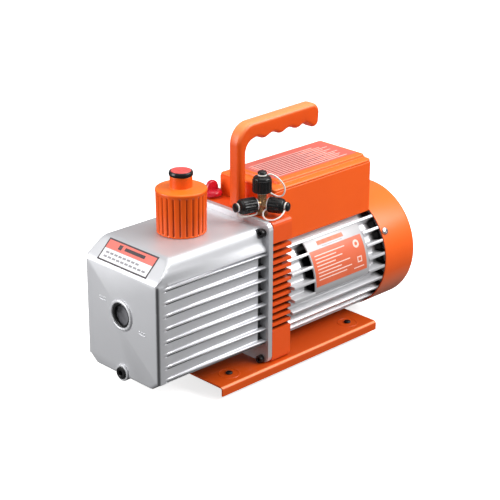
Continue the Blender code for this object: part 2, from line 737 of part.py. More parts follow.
def fan_cover():
    corner = 4.5 * MM
    outer = arc(COVER_REAR - corner, COVER_RADIUS - corner, corner, 90, 0, 3)
    inner_corner = corner - COVER_WALL
    inner = arc(COVER_REAR - corner, COVER_RADIUS - corner, inner_corner, 0, 90, 3)
    profile = [(0.0, COVER_REAR - COVER_WALL)]
    profile += [(r, x) for x, r in inner]
    profile += [(COVER_RADIUS - COVER_WALL, COVER_FRONT), (COVER_RADIUS, COVER_FRONT)]
    profile += [(r, x) for x, r in outer]
    profile += [(0.0, COVER_REAR)]
    shell = turned(profile, 40, (0.0, 0.0, SHAFT_Z), (1, 0, 0))
    cover = place("fan_cover", shell, ORANGE)
    slots = []
    for inner_radius, outer_radius, count, fill in GRILLE_RINGS:
        for k in range(count):
            middle = 360 / count * k
            half = 180 / count * fill
            outline = arc(0.0, SHAFT_Z, outer_radius * MM, middle - half, middle + half, 1)
            outline += arc(0.0, SHAFT_Z, inner_radius * MM, middle + half, middle - half, 1)
            slots.append(prism(outline, "X", COVER_REAR - 4 * MM, COVER_REAR + 1 * MM))
    cut(cover, *slots)
    x = COVER_FRONT + 5.6 * MM
    holes = []
    for number, angle in enumerate(COVER_SCREW_ANGLES, start=1):
        outward = Vector((0.0, -cos(radians(angle)), sin(radians(angle))))
        seat = Vector((x, 0.0, SHAFT_Z)) + outward * (COVER_RADIUS + GAP)
        holes.append(rod(2.6 * MM, -4 * MM, 2 * MM, 12, seat, outward))
        screw = turned(pan_screw(4.4 * MM, 1.7 * MM), 12, seat, outward)
        place(f"cover_screw_{number}", screw, CHROME)
    cut(cover, *holes)


# Electrical box -------------------------------------------------------------------------------------


def electrical_box():
    block = box(BOX_FRONT, BOX_REAR, -BOX_HALF, BOX_HALF, SHAFT_Z + 40 * MM, BOX_TOP)
    shell = place("electrical_box", block, ORANGE, smooth=False)
    wall = 3.0 * MM
    step_x = MODULE_REAR + 2 * GAP
    cut(shell, shaft_rod(FIN_TIP + GAP, BOX_FRONT - 1 * MM, BOX_REAR + 1 * MM, 64))
    cut(shell, box(BOX_FRONT - 1 * MM, step_x, -60 * MM, 60 * MM, SHAFT_Z + 30 * MM, MODULE_TOP + GAP))
    half = BOX_HALF - wall
    cut(shell, box(step_x + wall, BOX_REAR - wall, -half, half, 166.0 * MM, BOX_TOP + 1 * MM))
    windows = []
    for x, half_width, half_height in ((INLET_X, 14 * MM, 10.5 * MM), (SWITCH_X, 7.5 * MM, 11.5 * MM)):
        low, high = SOCKET_Z - half_height, SOCKET_Z + half_height
        windows.append(box(x - half_width, x + half_width, half - 2 * MM, 50 * MM, low, high))
    cut(shell, *windows)

    low = BOX_TOP + GAP
    half_profile = (
        (BOX_HALF, low),
        (BOX_HALF, low + 1.2 * MM),
        (BOX_HALF - 1.6 * MM, low + 2.4 * MM),
        (PLATEAU_HALF + 4.4 * MM, LID_STEP),
        (PLATEAU_HALF + 2.2 * MM, LID_STEP + 0.4 * MM),
    )
    lid = place("box_lid", prism(mirrored(half_profile), "X", BOX_FRONT, BOX_REAR), ORANGE, smooth=False)
    plateau = mirrored(((PLATEAU_HALF + 1.4 * MM, LID_STEP - 2 * MM), (PLATEAU_HALF, LID_TOP)))
    add(lid, prism(plateau, "X", PLATEAU_FRONT, PLATEAU_REAR))
    barrel = (
        (0.0, 0.0),
        (17.0 * MM, 0.0),
        (17.0 * MM, 62 * MM),
        (6.0 * MM, 63 * MM),
        (6.0 * MM, 68 * MM),
        (0.0, 68 * MM),
    )
    start = (TANK_FRONT + 210 * MM, 0.0, 185.5 * MM)
    place("capacitor", turned(barrel, 16, start, (1, 0, 0)), BLACK_PLASTIC)


def power_inlet():
    face = BOX_HALF + GAP

    def slab(half_width, half_height, start, end):
        low, high = SOCKET_Z - half_height, SOCKET_Z + half_height
        return box(INLET_X - half_width, INLET_X + half_width, face + start, face + end, low, high)

    low, high = SOCKET_Z - 12.5 * MM, SOCKET_Z + 12.5 * MM
    outline = rounded_rectangle(INLET_X - 20 * MM, INLET_X + 20 * MM, low, high, 4 * MM)
    inlet = place("power_inlet", prism(outline, "Y", face, face + 2.5 * MM), BLACK_PLASTIC)
    add(inlet, slab(13.6 * MM, 10 * MM, -13 * MM, 1 * MM))
    cut(inlet, slab(12 * MM, 8.2 * MM, -10.5 * MM, 5 * MM))
    pins = []
    for offset in (-7 * MM, 0.0, 7 * MM):
        lift = 1.8 * MM if offset == 0.0 else -1.2 * MM
        x = INLET_X + offset
        z = SOCKET_Z + lift
        pins.append(box(x - 1 * MM, x + 1 * MM, face - 11 * MM, face - 3 * MM, z - 2.2 * MM, z + 2.2 * MM))
    add(inlet, *pins)


def rocker_switch():
    pivot = (SWITCH_X, BOX_HALF - 1.0 * MM, SOCKET_Z)
    half = 10.2 * MM
    lean = radians(-8)
    low_half = ((-5 * MM, -6 * MM), (2.4 * MM, -half), (4.2 * MM, -half))
    profile = (*low_half, (1.8 * MM, 0.0), *[(y, -z) for y, z in reversed(low_half)])
    outline = []
    for y, z in profile:
        outline.append((pivot[1] + y * cos(lean) - z * sin(lean), SOCKET_Z + y * sin(lean) + z * cos(lean)))
    rocker = prism(outline, "X", SWITCH_X - 6.8 * MM, SWITCH_X + 6.8 * MM)
    place("rocker_switch", rocker, BLACK_PLASTIC, pivot, smooth=False)


# Handle ---------------------------------------------------------------------------------------------


def handle():
    foot = MODULE_TOP + GAP
    outline = [(POST_FRONT, foot)]
    corner = 24.0 * MM
    outline += arc(POST_FRONT + corner, GRIP_TOP - 2 * MM - corner, corner, 180, 90, 6)
    end = 12.5 * MM
    outline += arc(HANDLE_REAR - end, GRIP_TOP - end, end, 90, 5, 5)
    tip = 7.6 * MM
    outline += arc(HANDLE_REAR - tip - 0.6 * MM, GRIP_UNDER - 6 * MM + tip, tip, 0, -120, 5)
    first_valley = POST_REAR + 16.2 * MM
    steps = 24
    for k in range(steps + 1):
        along = 3 * SCALLOP_PITCH * (1 - k / steps)
        wave = cos(2 * pi * along / SCALLOP_PITCH)
        outline.append((first_valley + along, GRIP_UNDER + SCALLOP_DEPTH * wave))
    inner = 15.0 * MM
    outline += arc(POST_REAR + inner, GRIP_UNDER + 1.2 * MM - inner, inner, 100, 180, 5)
    outline.append((POST_REAR, foot))
    grip = place("handle", prism(outline, "Y", -HANDLE_HALF, HANDLE_HALF), ORANGE)
    soften = grip.modifiers.new("rounding", "BEVEL")
    soften.width = 4.6 * MM
    soften.segments = 3
    soften.limit_method = "ANGLE"
    soften.angle_limit = radians(60)


# Intake fitting -------------------------------------------------------------------------------------


def ports():
    """Each port's name, origin and outward direction."""
    found = {"top": (INTAKE + Vector((0.0, 0.0, TOP_PORT_OFFSET)), Vector((0.0, 0.0, 1.0)))}
    for name, degrees in PORT_ANGLES.items():
        a = radians(degrees)
        found[name] = (INTAKE, Vector((cos(a), sin(a), 0.0)))
    return found


def intake_fitting():
    column = turned(
        (
            (0.0, MODULE_TOP - 10 * MM),
            (5.6 * MM, MODULE_TOP - 10 * MM),
            (5.6 * MM, MODULE_TOP + 2 * MM),
            (5.4 * MM, INTAKE.z + TOP_PORT_OFFSET),
            (0.0, INTAKE.z + TOP_PORT_OFFSET),
        ),
        16,
        (INTAKE.x, INTAKE.y, 0.0),
    )
    fitting = place("intake_fitting", column, BRASS)
    nut = arc(INTAKE.x, INTAKE.y, 6.9 * MM, 0, 300, 5)
    add(fitting, prism(nut, "Z", MODULE_TOP + GAP, MODULE_TOP + 5.4 * MM))
    for name, (origin, outward) in ports().items():
        start = -3.0 * MM if name == "top" else 0.0
        add(fitting, rod(NECK_RADIUS, start, PORT_LENGTH, 16, origin, outward))


def intake_caps():
    for name, (origin, outward) in ports().items():
        radius = CAP_RADII[name]
        end = CAP_START + CAP_LENGTHS[name]
        profile = (
            (0.0, PORT_LENGTH + 1.0 * MM),
            (NECK_RADIUS + GAP, PORT_LENGTH + 1.0 * MM),
            (NECK_RADIUS + GAP, CAP_START),
            (radius, CAP_START),
            (radius, end - 4.4 * MM),
            (radius * 0.94, end - 4.0 * MM),
            (radius * 0.9, end - 1.5 * MM),
            (radius * 0.6, end),
            (3.0 * MM, end),
            (3.0 * MM, end + 2.4 * MM),
            (5.2 * MM, end + 2.4 * MM),
            (5.2 * MM, end + 4.0 * MM),
            (3.0 * MM, end + BUTTON_LENGTH),
            (0.0, end + BUTTON_LENGTH),
        )
        place(f"intake_cap_{name}", turned(profile, 16, origin, outward), BLACK_PLASTIC, origin)
        eye = tube(3.0 * MM + GAP, 5.0 * MM, end + GAP, end + 2.4 * MM - GAP, 16, origin, outward)
        place(f"tether_eye_{name}", eye, SILICONE, origin)


def strap_route(points, steps):
    """Smooth curve through the route's own points."""
    guide = [points[0], *points, points[-1]]
    route = []
    for k in range(1, len(guide) - 2):
        a, b, c, d = guide[k - 1 : k + 3]
        for i in range(steps):
            t = i / steps
            curve = (2 * a - 5 * b + 4 * c - d) * t**2 + (3 * b - a - 3 * c + d) * t**3
            route.append(0.5 * (2 * b + (c - a) * t + curve))
    route.append(points[-1])
    return route


def swept(route, radius, sides):
    """Round strand along a route."""
    bm = bmesh.new()
    loops = []
    across = Vector((0.0, 0.0, 1.0)).cross(route[1] - route[0])
    if across.length < 1e-9:
        across = Vector((1.0, 0.0, 0.0))
    across.normalize()
    for k, spot in enumerate(route):
        ahead = route[min(k + 1, len(route) - 1)] - route[max(k - 1, 0)]
        ahead.normalize()
        across = (across - ahead * across.dot(ahead)).normalized()
        over = ahead.cross(across)
        angles = [2 * pi * i / sides for i in range(sides)]
        loops.append([bm.verts.new(spot + (across * cos(a) + over * sin(a)) * radius) for a in angles])
    for low, high in zip(loops, loops[1:]):
        for i in range(sides):
            j = (i + 1) % sides
            bm.faces.new((low[i], low[j], high[j], high[i]))
    bm.faces.new(loops[0])
    bm.faces.new(loops[-1])
    bmesh.ops.recalc_face_normals(bm, faces=bm.faces)
    return bm


def sideways(name, outward):
    """Unit vector, square to the port, that the tether's loop leans along."""
    if name == "top":
        return Vector((0.72, -0.69, 0.0)).normalized()
    level = outward.cross(Vector((0.0, 0.0, 1.0)))
    lean, drop = {"left": (-0.24, -0.97), "right": (0.85, -0.53)}[name]
    return (level * lean + Vector((0.0, 0.0, drop))).normalized()


def tethers():
    """Each cap's strap: a ring round the port's neck and a strand that ends beside the cap's eye."""
    neck = CAP_START - 1.6 * MM
    for name, (origin, outward) in ports().items():
        side = sideways(name, outward)
        ring = tube(NECK_RADIUS + GAP, 7.4 * MM, neck, neck + 1.3 * MM, 16, origin, outward)
        strap = place(f"tether_{name}", ring, SILICONE, origin)
        points = [origin + (outward * along + side * out) * MM for along, out in TETHER_ROUTES[name]]
        add(strap, swept(strap_route(points, 3), 0.9 * MM, 6))


# Gas ballast valve ----------------------------------------------------------------------------------


def gas_ballast_knob():
    profile = (
        (0.0, -9.0 * MM),
        (4.0 * MM, -9.0 * MM),
        (4.0 * MM, 2.6 * MM),
        (11.2 * MM, 2.6 * MM),
        (12.0 * MM, 3.6 * MM),
        (12.0 * MM, 6.4 * MM),
        (10.4 * MM, 8.4 * MM),
        (0.0, 8.4 * MM),
    )
    knob = place("gas_ballast_knob", turned(profile, 24, BALLAST), RED_PLASTIC, BALLAST)
    top = BALLAST.z + 19.6 * MM
    half = 8.5 * MM
    rim = arc(BALLAST.x, top - half * 0.7, half, 20, 160, 6)
    foot = [(BALLAST.x + side * half * 0.94, BALLAST.z + 7 * MM) for side in (-1, 1)]
    outline = [(u, min(v, top)) for u, v in foot + rim]
    add(knob, prism(outline, "Y", BALLAST.y - 2.6 * MM, BALLAST.y + 2.6 * MM))


clear_scene()

ORANGE = material("orange_paint", (0.80, 0.16, 0.02), 0.38)
CAST_ALUMINIUM = material("cast_aluminium", (0.56, 0.57, 0.59), 0.42, 0.9)
BRUSHED_ALUMINIUM = material("extruded_aluminium", (0.74, 0.75, 0.77), 0.34, 0.9)
BLACK_STEEL = material("black_steel", (0.02, 0.02, 0.02), 0.4, 0.6)
RUBBER = material("rubber", (0.03, 0.03, 0.03), 0.8)
GLASS = material("dark_window", (0.05, 0.05, 0.06), 0.08)
BLACK_PLASTIC = material("black_plastic", (0.02, 0.02, 0.022), 0.45)
FILTER = material("filter_felt", (0.7, 0.68, 0.6), 0.9)
CAST_IRON = material("cast_iron", (0.2, 0.2, 0.21), 0.55, 0.8)
STEEL = material("steel", (0.5, 0.5, 0.52), 0.3, 1.0)
VANE = material("carbon_vane", (0.08, 0.08, 0.08), 0.5)
COPPER = material("copper_winding", (0.45, 0.2, 0.08), 0.4, 0.9)
CHROME = material("chrome", (0.8, 0.8, 0.82), 0.12, 1.0)
BRASS = material("brass", (0.42, 0.25, 0.12), 0.35, 0.9)
SILICONE = material("clear_silicone", (0.85, 0.82, 0.78), 0.4)
RED_PLASTIC = material("red_plastic", (0.55, 0.01, 0.03), 0.3)

base_plate()
feet()
oil_tank()
tank_flange()
tank_screws()
sight_glass()
drain()
exhaust_cap()
pump_module()
cartridge()
motor_housing()
motor_inside()
cooling_fan()
fan_cover()
electrical_box()
power_inlet()
rocker_switch()
handle()
intake_fitting()
intake_caps()
tethers()
gas_ballast_knob()
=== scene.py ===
import json
from math import atan2, cos, exp, pi, radians, sin

import bmesh
import bpy
from mathutils import Matrix, Vector


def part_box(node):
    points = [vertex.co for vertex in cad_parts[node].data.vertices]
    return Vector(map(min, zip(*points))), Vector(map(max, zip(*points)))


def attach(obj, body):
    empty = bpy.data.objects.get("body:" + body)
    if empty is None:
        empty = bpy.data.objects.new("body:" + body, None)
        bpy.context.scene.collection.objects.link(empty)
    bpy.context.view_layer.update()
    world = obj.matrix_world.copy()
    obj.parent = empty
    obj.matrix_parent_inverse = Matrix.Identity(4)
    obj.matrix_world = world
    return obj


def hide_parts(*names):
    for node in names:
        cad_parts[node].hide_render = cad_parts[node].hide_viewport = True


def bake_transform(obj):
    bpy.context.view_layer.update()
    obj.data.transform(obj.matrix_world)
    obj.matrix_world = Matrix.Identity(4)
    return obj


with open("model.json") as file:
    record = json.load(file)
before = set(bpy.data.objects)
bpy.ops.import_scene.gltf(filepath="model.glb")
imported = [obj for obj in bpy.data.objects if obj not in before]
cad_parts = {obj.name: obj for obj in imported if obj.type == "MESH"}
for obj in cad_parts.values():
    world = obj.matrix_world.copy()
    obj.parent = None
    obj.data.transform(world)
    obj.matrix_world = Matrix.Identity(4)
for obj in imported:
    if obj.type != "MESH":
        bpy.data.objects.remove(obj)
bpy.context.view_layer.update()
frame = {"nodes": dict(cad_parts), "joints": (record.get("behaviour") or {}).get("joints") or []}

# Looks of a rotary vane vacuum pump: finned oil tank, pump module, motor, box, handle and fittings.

MM = 0.001
BODY = "frame_body"
FORWARD, REARWARD = (-1, 0, 0), (1, 0, 0)
CLEARANCE = 0.3 * MM
INK_LIFT = 0.02 * MM


def in_mm(*points):
    """Pairs of numbers in millimetres, turned into metres."""
    return [(a * MM, b * MM) for a, b in points]


def middle(name):
    """Centre of a CAD node's box."""
    low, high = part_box(name)
    return (low + high) / 2


# Places that the pieces share, from the frame
TANK_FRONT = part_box("oil_tank")[0].x + 2 * MM
TANK_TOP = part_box("exhaust_cap")[0].z - CLEARANCE
FLANGE_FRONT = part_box("tank_flange")[0].x
MODULE_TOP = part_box("pump_module")[1].z
BASE_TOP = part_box("base_plate")[1].z
BASE_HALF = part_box("base_plate")[1].y
SHAFT_Z = (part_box("motor_shaft")[0].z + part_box("motor_shaft")[1].z) / 2
WINDOW = middle("sight_retainer")
DRAIN = middle("drain_washer")
CAP = middle("exhaust_cap")
KNOB = middle("gas_ballast_knob")
COVER_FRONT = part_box("fan_cover")[0].x
COVER_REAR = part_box("fan_cover")[1].x
COVER_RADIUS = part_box("fan_cover")[1].y
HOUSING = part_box("motor_housing")
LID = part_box("box_lid")
JOINTS = {joint["name"]: joint for joint in frame["joints"]}


# Stage --------------------

AZIMUTH, ELEVATION, ROLL = radians(-44.613), radians(21.915), radians(0.274)
FOCAL = 3.0307
STAND_OFF = Vector((-7.470, -8.401, 1712.798)) * MM
AIM = Vector((TANK_FRONT + 180 * MM, 0.0, 120 * MM))
BACKDROP = 1.05
ROOM_LIGHT = 0.33
FLOOR_GLOW = 0.72
FLOOR_BOUNCE = 0.12
PANELS = (
    ("overhead", (0.05, -0.1, 1.05), (1.1, 0.8), 5.0),
    ("left_panel", (-1.4, 0.75, 0.6), (0.8, 1.2), 24.0),
    ("right_panel", (0.75, -1.0, 1.1), (1.2, 0.8), 27.0),
)


def link(name, data):
    """Put new data into the scene, as an object."""
    made = bpy.data.objects.new(name, data)
    bpy.context.scene.collection.objects.link(made)
    return made


def make_camera():
    back = Vector((sin(AZIMUTH) * cos(ELEVATION), -cos(AZIMUTH) * cos(ELEVATION), sin(ELEVATION)))
    level = Vector((0, 0, 1)).cross(back).normalized()
    rise = back.cross(level)
    right = cos(ROLL) * level + sin(ROLL) * rise
    up = cos(ROLL) * rise - sin(ROLL) * level
    place = AIM + back * STAND_OFF.z - right * STAND_OFF.x - up * STAND_OFF.y
    data = bpy.data.cameras.new("camera")
    data.sensor_width = 36
    data.lens = 36 * FOCAL
    data.clip_start = 0.1
    data.clip_end = 50
    camera = link("camera", data)
    camera.matrix_world = Matrix(((right.x, up.x, back.x, place.x),
                                  (right.y, up.y, back.y, place.y),
                                  (right.z, up.z, back.z, place.z),
                                  (0, 0, 0, 1)))
    bpy.context.scene.camera = camera


def soft_light(name, place, size, power):
    data = bpy.data.lights.new(name, "AREA")
    data.shape = "RECTANGLE"
    data.size, data.size_y = size
    data.energy = power
    lamp = link(name, data)
    lamp.location = place
    aim = Vector((0.0, 0.0, 0.12)) - Vector(place)
    lamp.rotation_euler = aim.to_track_quat("-Z", "Y").to_euler()


def only_to_camera(tree, seen, unseen, output):
    """Show one shader to the camera, and let another light everything else."""
    path = tree.nodes.new("ShaderNodeLightPath")
    mix = tree.nodes.new("ShaderNodeMixShader")
    tree.links.new(path.outputs["Is Camera Ray"], mix.inputs[0])
    tree.links.new(unseen.outputs[0], mix.inputs[1])
    tree.links.new(seen.outputs[0], mix.inputs[2])
    tree.links.new(mix.outputs[0], tree.nodes[output].inputs["Surface"])


def make_world():
    world = bpy.data.worlds.new("studio")
    world.use_nodes = True
    bpy.context.scene.world = world
    seen = world.node_tree.nodes["Background"]
    room = world.node_tree.nodes.new("ShaderNodeBackground")
    for light, strength in ((seen, BACKDROP), (room, ROOM_LIGHT)):
        light.inputs["Color"].default_value = (1, 1, 1, 1)
        light.inputs["Strength"].default_value = strength
    only_to_camera(world.node_tree, seen, room, "World Output")


def make_floor():
    bm = bmesh.new()
    bmesh.ops.create_grid(bm, x_segments=8, y_segments=8, size=14.0)
    mesh = bpy.data.meshes.new("floor")
    bm.to_mesh(mesh)
    bm.free()
    floor = link("floor", mesh)
    paper = bpy.data.materials.new("white_paper")
    paper.use_nodes = True
    tree = paper.node_tree
    shader = tree.nodes["Principled BSDF"]
    for socket, value in (("Base Color", (0.8, 0.8, 0.8, 1)), ("Roughness", 0.9), ("Specular IOR Level", 0.0),
                          ("Emission Color", (1, 1, 1, 1)), ("Emission Strength", FLOOR_GLOW)):
        shader.inputs[socket].default_value = value
    dim = tree.nodes.new("ShaderNodeBsdfDiffuse")
    dim.inputs["Color"].default_value = (FLOOR_BOUNCE, FLOOR_BOUNCE, FLOOR_BOUNCE, 1)
    only_to_camera(tree, shader, dim, "Material Output")
    mesh.materials.append(paper)


def make_stage():
    bpy.context.scene.view_settings.view_transform = "Standard"
    make_world()
    for panel in PANELS:
        soft_light(*panel)
    make_floor()


# Materials --------------------


class Nodes:
    """A material's node tree, with short ways to add and link nodes."""

    def __init__(self, name):
        self.material = bpy.data.materials.new(name)
        self.material.use_nodes = True
        self.tree = self.material.node_tree
        self.shader = self.tree.nodes["Principled BSDF"]
        where = self.add("ShaderNodeTexCoord")
        self.coordinates, self.facing = where.outputs["Object"], where.outputs["Normal"]

    def feed(self, socket, value):
        if isinstance(value, bpy.types.NodeSocket):
            self.tree.links.new(value, socket)
        else:
            socket.default_value = value

    def add(self, kind, **inputs):
        node = self.tree.nodes.new(kind)
        for key, value in inputs.items():
            self.feed(node.inputs[key.replace("_", " ")], value)
        return node

    def split(self, vector):
        return self.add("ShaderNodeSeparateXYZ", Vector=vector).outputs

    def noise(self, scale, detail, stretch=(1, 1, 1)):
        where = self.add("ShaderNodeMapping", Vector=self.coordinates, Scale=stretch).outputs[0]
        made = self.add("ShaderNodeTexNoise", Vector=where, Scale=scale, Detail=detail, Roughness=0.55)
        return made.outputs[0]

    def ranged(self, value, low, high, to_low=0.0, to_high=1.0):
        span = {"From_Min": low, "From_Max": high, "To_Min": to_low, "To_Max": to_high}
        return self.add("ShaderNodeMapRange", Value=value, **span).outputs[0]

    def mixed(self, share, first, second, blend="MIX"):
        made = self.tree.nodes.new("ShaderNodeMix")
        made.data_type = "RGBA"
        made.blend_type = blend
        for index, value in ((0, share), (6, first), (7, second)):
            self.feed(made.inputs[index], value)
        return made.outputs[2]

    def math(self, operation, first, second=0.0):
        made = self.tree.nodes.new("ShaderNodeMath")
        made.operation = operation
        self.feed(made.inputs[0], first)
        self.feed(made.inputs[1], second)
        return made.outputs[0]

    def product(self, first, *others):
        for other in others:
            first = self.math("MULTIPLY", first, other)
        return first

    def distance(self, a, b):
        return self.math("SQRT", self.math("ADD", self.math("MULTIPLY", a, a), self.math("MULTIPLY", b, b)))

    def relief(self, height, depth):
        bump = self.add("ShaderNodeBump", Height=height, Distance=depth, Strength=1.0)
        self.wire(bump.outputs["Normal"], "Normal")

    def wire(self, value, socket):
        self.tree.links.new(value, self.shader.inputs[socket])


def surface(name, colour, tint, roughness, spread=0.06, patch=22.0, grain=1400.0, depth=0.01,
            stretch=(1, 1, 1), top_painted_light=None, underside_painted_reflection=None, masks=None, masked_painted_light=None, **fixed):
    """A finish with a soft drift from colour to tint, uneven gloss and a fine grain of a depth in mm.

    Faces that point up may take a colour of painted light (a painted highlight, and painted shade on the base
    plate), faces that point down a colour of painted reflection, and the places where masks(made, x, y, z) is
    1 a colour of painted light, such as painted shade in a groove or a painted highlight on an edge.
    """
    made = Nodes(name)
    drift = made.ranged(made.noise(patch, 3.0), 0.35, 0.65)
    fine = made.noise(grain, 4.0, stretch)
    base = made.mixed(drift, (*colour, 1), (*tint, 1))
    # Painted light on faces that point up, and a painted reflection of the floor on faces that point down
    for other, low, high in ((top_painted_light, 0.05, 0.85), (underside_painted_reflection, -0.2, -0.85)):
        if other:
            base = made.mixed(made.ranged(made.split(made.facing)[2], low, high), base, (*other, 1))
    # Painted light where the masks are 1: painted shade in grooves, painted highlights on edges
    if masks:
        base = made.mixed(masks(made, *made.split(made.coordinates)), base, (*masked_painted_light, 1))
    made.wire(base, "Base Color")
    uneven = made.math("ADD", made.math("MULTIPLY", drift, 0.5), made.math("MULTIPLY", fine, 0.5))
    made.wire(made.ranged(uneven, 0.2, 0.8, roughness - spread, roughness + spread), "Roughness")
    made.relief(fine, depth * MM)
    for socket, value in fixed.items():
        made.shader.inputs[socket.replace("_", " ")].default_value = value
    return made.material


def shaded(name, colour, tint, roughness, grain, depth, metallic, shade, masks, stretch=(1, 1, 1)):
    """Finish with painted shade: it darkens by a share where masks(made, x, y, z) is 1, such as in a deep
    recess.
    """
    made = Nodes(name)
    drift = made.ranged(made.noise(14.0, 3.0), 0.35, 0.65)
    fine = made.noise(grain, 4.0, stretch)
    base = made.mixed(drift, (*colour, 1), (*tint, 1))
    # Painted shade: the colour darkened by a share
    deep = made.mixed(1.0, base, (shade, shade, shade * 1.02, 1), "MULTIPLY")
    made.wire(made.mixed(masks(made, *made.split(made.coordinates)), base, deep), "Base Color")
    made.wire(made.ranged(fine, 0.2, 0.8, roughness - 0.05, roughness + 0.05), "Roughness")
    made.relief(fine, depth * MM)
    made.shader.inputs["Metallic"].default_value = metallic
    return made.material


def tank_painted_shade(made, x, y, z):
    """Painted shade on the floors between the tank's ridges, in the grooves under them and the pocket by the
    flange, on its front corners and on the edge under it.
    """
    away = made.math("ABSOLUTE", y)
    under = made.ranged(z, 154 * MM, 152 * MM)
    recess = made.product(
        made.ranged(x, TANK_FRONT + 8 * MM, TANK_FRONT + 10 * MM),
        made.ranged(away, 56.85 * MM, 56.3 * MM),
        made.ranged(z, 41.5 * MM, 42.5 * MM),
        under,
    )
    corner = made.product(
        made.ranged(away, 54.8 * MM, 56.6 * MM, 0.0, 0.9),
        made.ranged(x, TANK_FRONT + 3.8 * MM, TANK_FRONT + 1.8 * MM),
        under,
    )
    bottom = made.product(
        made.ranged(z, 42.2 * MM, 40.6 * MM, 0.0, 0.85),
        made.ranged(x, TANK_FRONT + 1.2 * MM, TANK_FRONT + 2.6 * MM),
    )
    return made.math("MAXIMUM", recess, made.math("MAXIMUM", corner, bottom))


def fin_painted_shade(made, x, y, z):
    """Painted shade, near black, on the floors between the motor's fins, at its rear end under the cover's
    rim and round the name plate's pad.
    """
    above = made.math("SUBTRACT", z, SHAFT_Z)
    deep = made.ranged(made.distance(y, above), 70.2 * MM, 69.0 * MM)
    ends = made.ranged(x, TANK_FRONT + 336 * MM, TANK_FRONT + 344 * MM)
    beside = made.product(
        made.ranged(x, TANK_FRONT + 216 * MM, TANK_FRONT + 224 * MM),
        made.ranged(x, TANK_FRONT + 317 * MM, TANK_FRONT + 316 * MM),
        made.ranged(y, -40 * MM, -44 * MM),
        made.ranged(above, -7 * MM, -5.5 * MM),
        made.ranged(above, 50 * MM, 48.8 * MM),
    )
    return made.product(deep, made.math("MAXIMUM", ends, beside))


def module_painted_shade(made, x, y, z):
    """Painted shade on the floors of the pump module's cooling grooves."""
    return made.product(
        made.ranged(made.math("ABSOLUTE", y), 64.5 * MM, 60 * MM),
        made.ranged(x, FLANGE_FRONT + 7.0 * MM, FLANGE_FRONT + 8.5 * MM),
        made.ranged(z, MODULE_TOP - 2 * MM, MODULE_TOP - 3 * MM),
    )


def flute_painted_shade(made, x, y, z):
    """Painted shade on the floors of the exhaust cap's flutes."""
    radius = made.distance(y, made.math("SUBTRACT", x, CAP.x))
    return made.product(
        made.ranged(radius, 26.95 * MM, 26.35 * MM, 0.0, 0.75),
        made.ranged(radius, 25.2 * MM, 25.6 * MM),
        made.ranged(z, TANK_TOP + 45.5 * MM, TANK_TOP + 44.5 * MM),
    )


def lip_painted_highlight(made, x, y, z):
    """Painted highlight along the upper edge of the base plate's lips."""
    return made.product(
        made.ranged(made.math("ABSOLUTE", y), BASE_HALF - 3.2 * MM, BASE_HALF - 1.4 * MM),
        made.ranged(z, BASE_TOP - 2.4 * MM, BASE_TOP - 1.0 * MM),
    )


def window_painted_light(made, x, y, z):
    """Painted light on the paler side of the window."""
    return made.ranged(y, 3 * MM, -11 * MM)


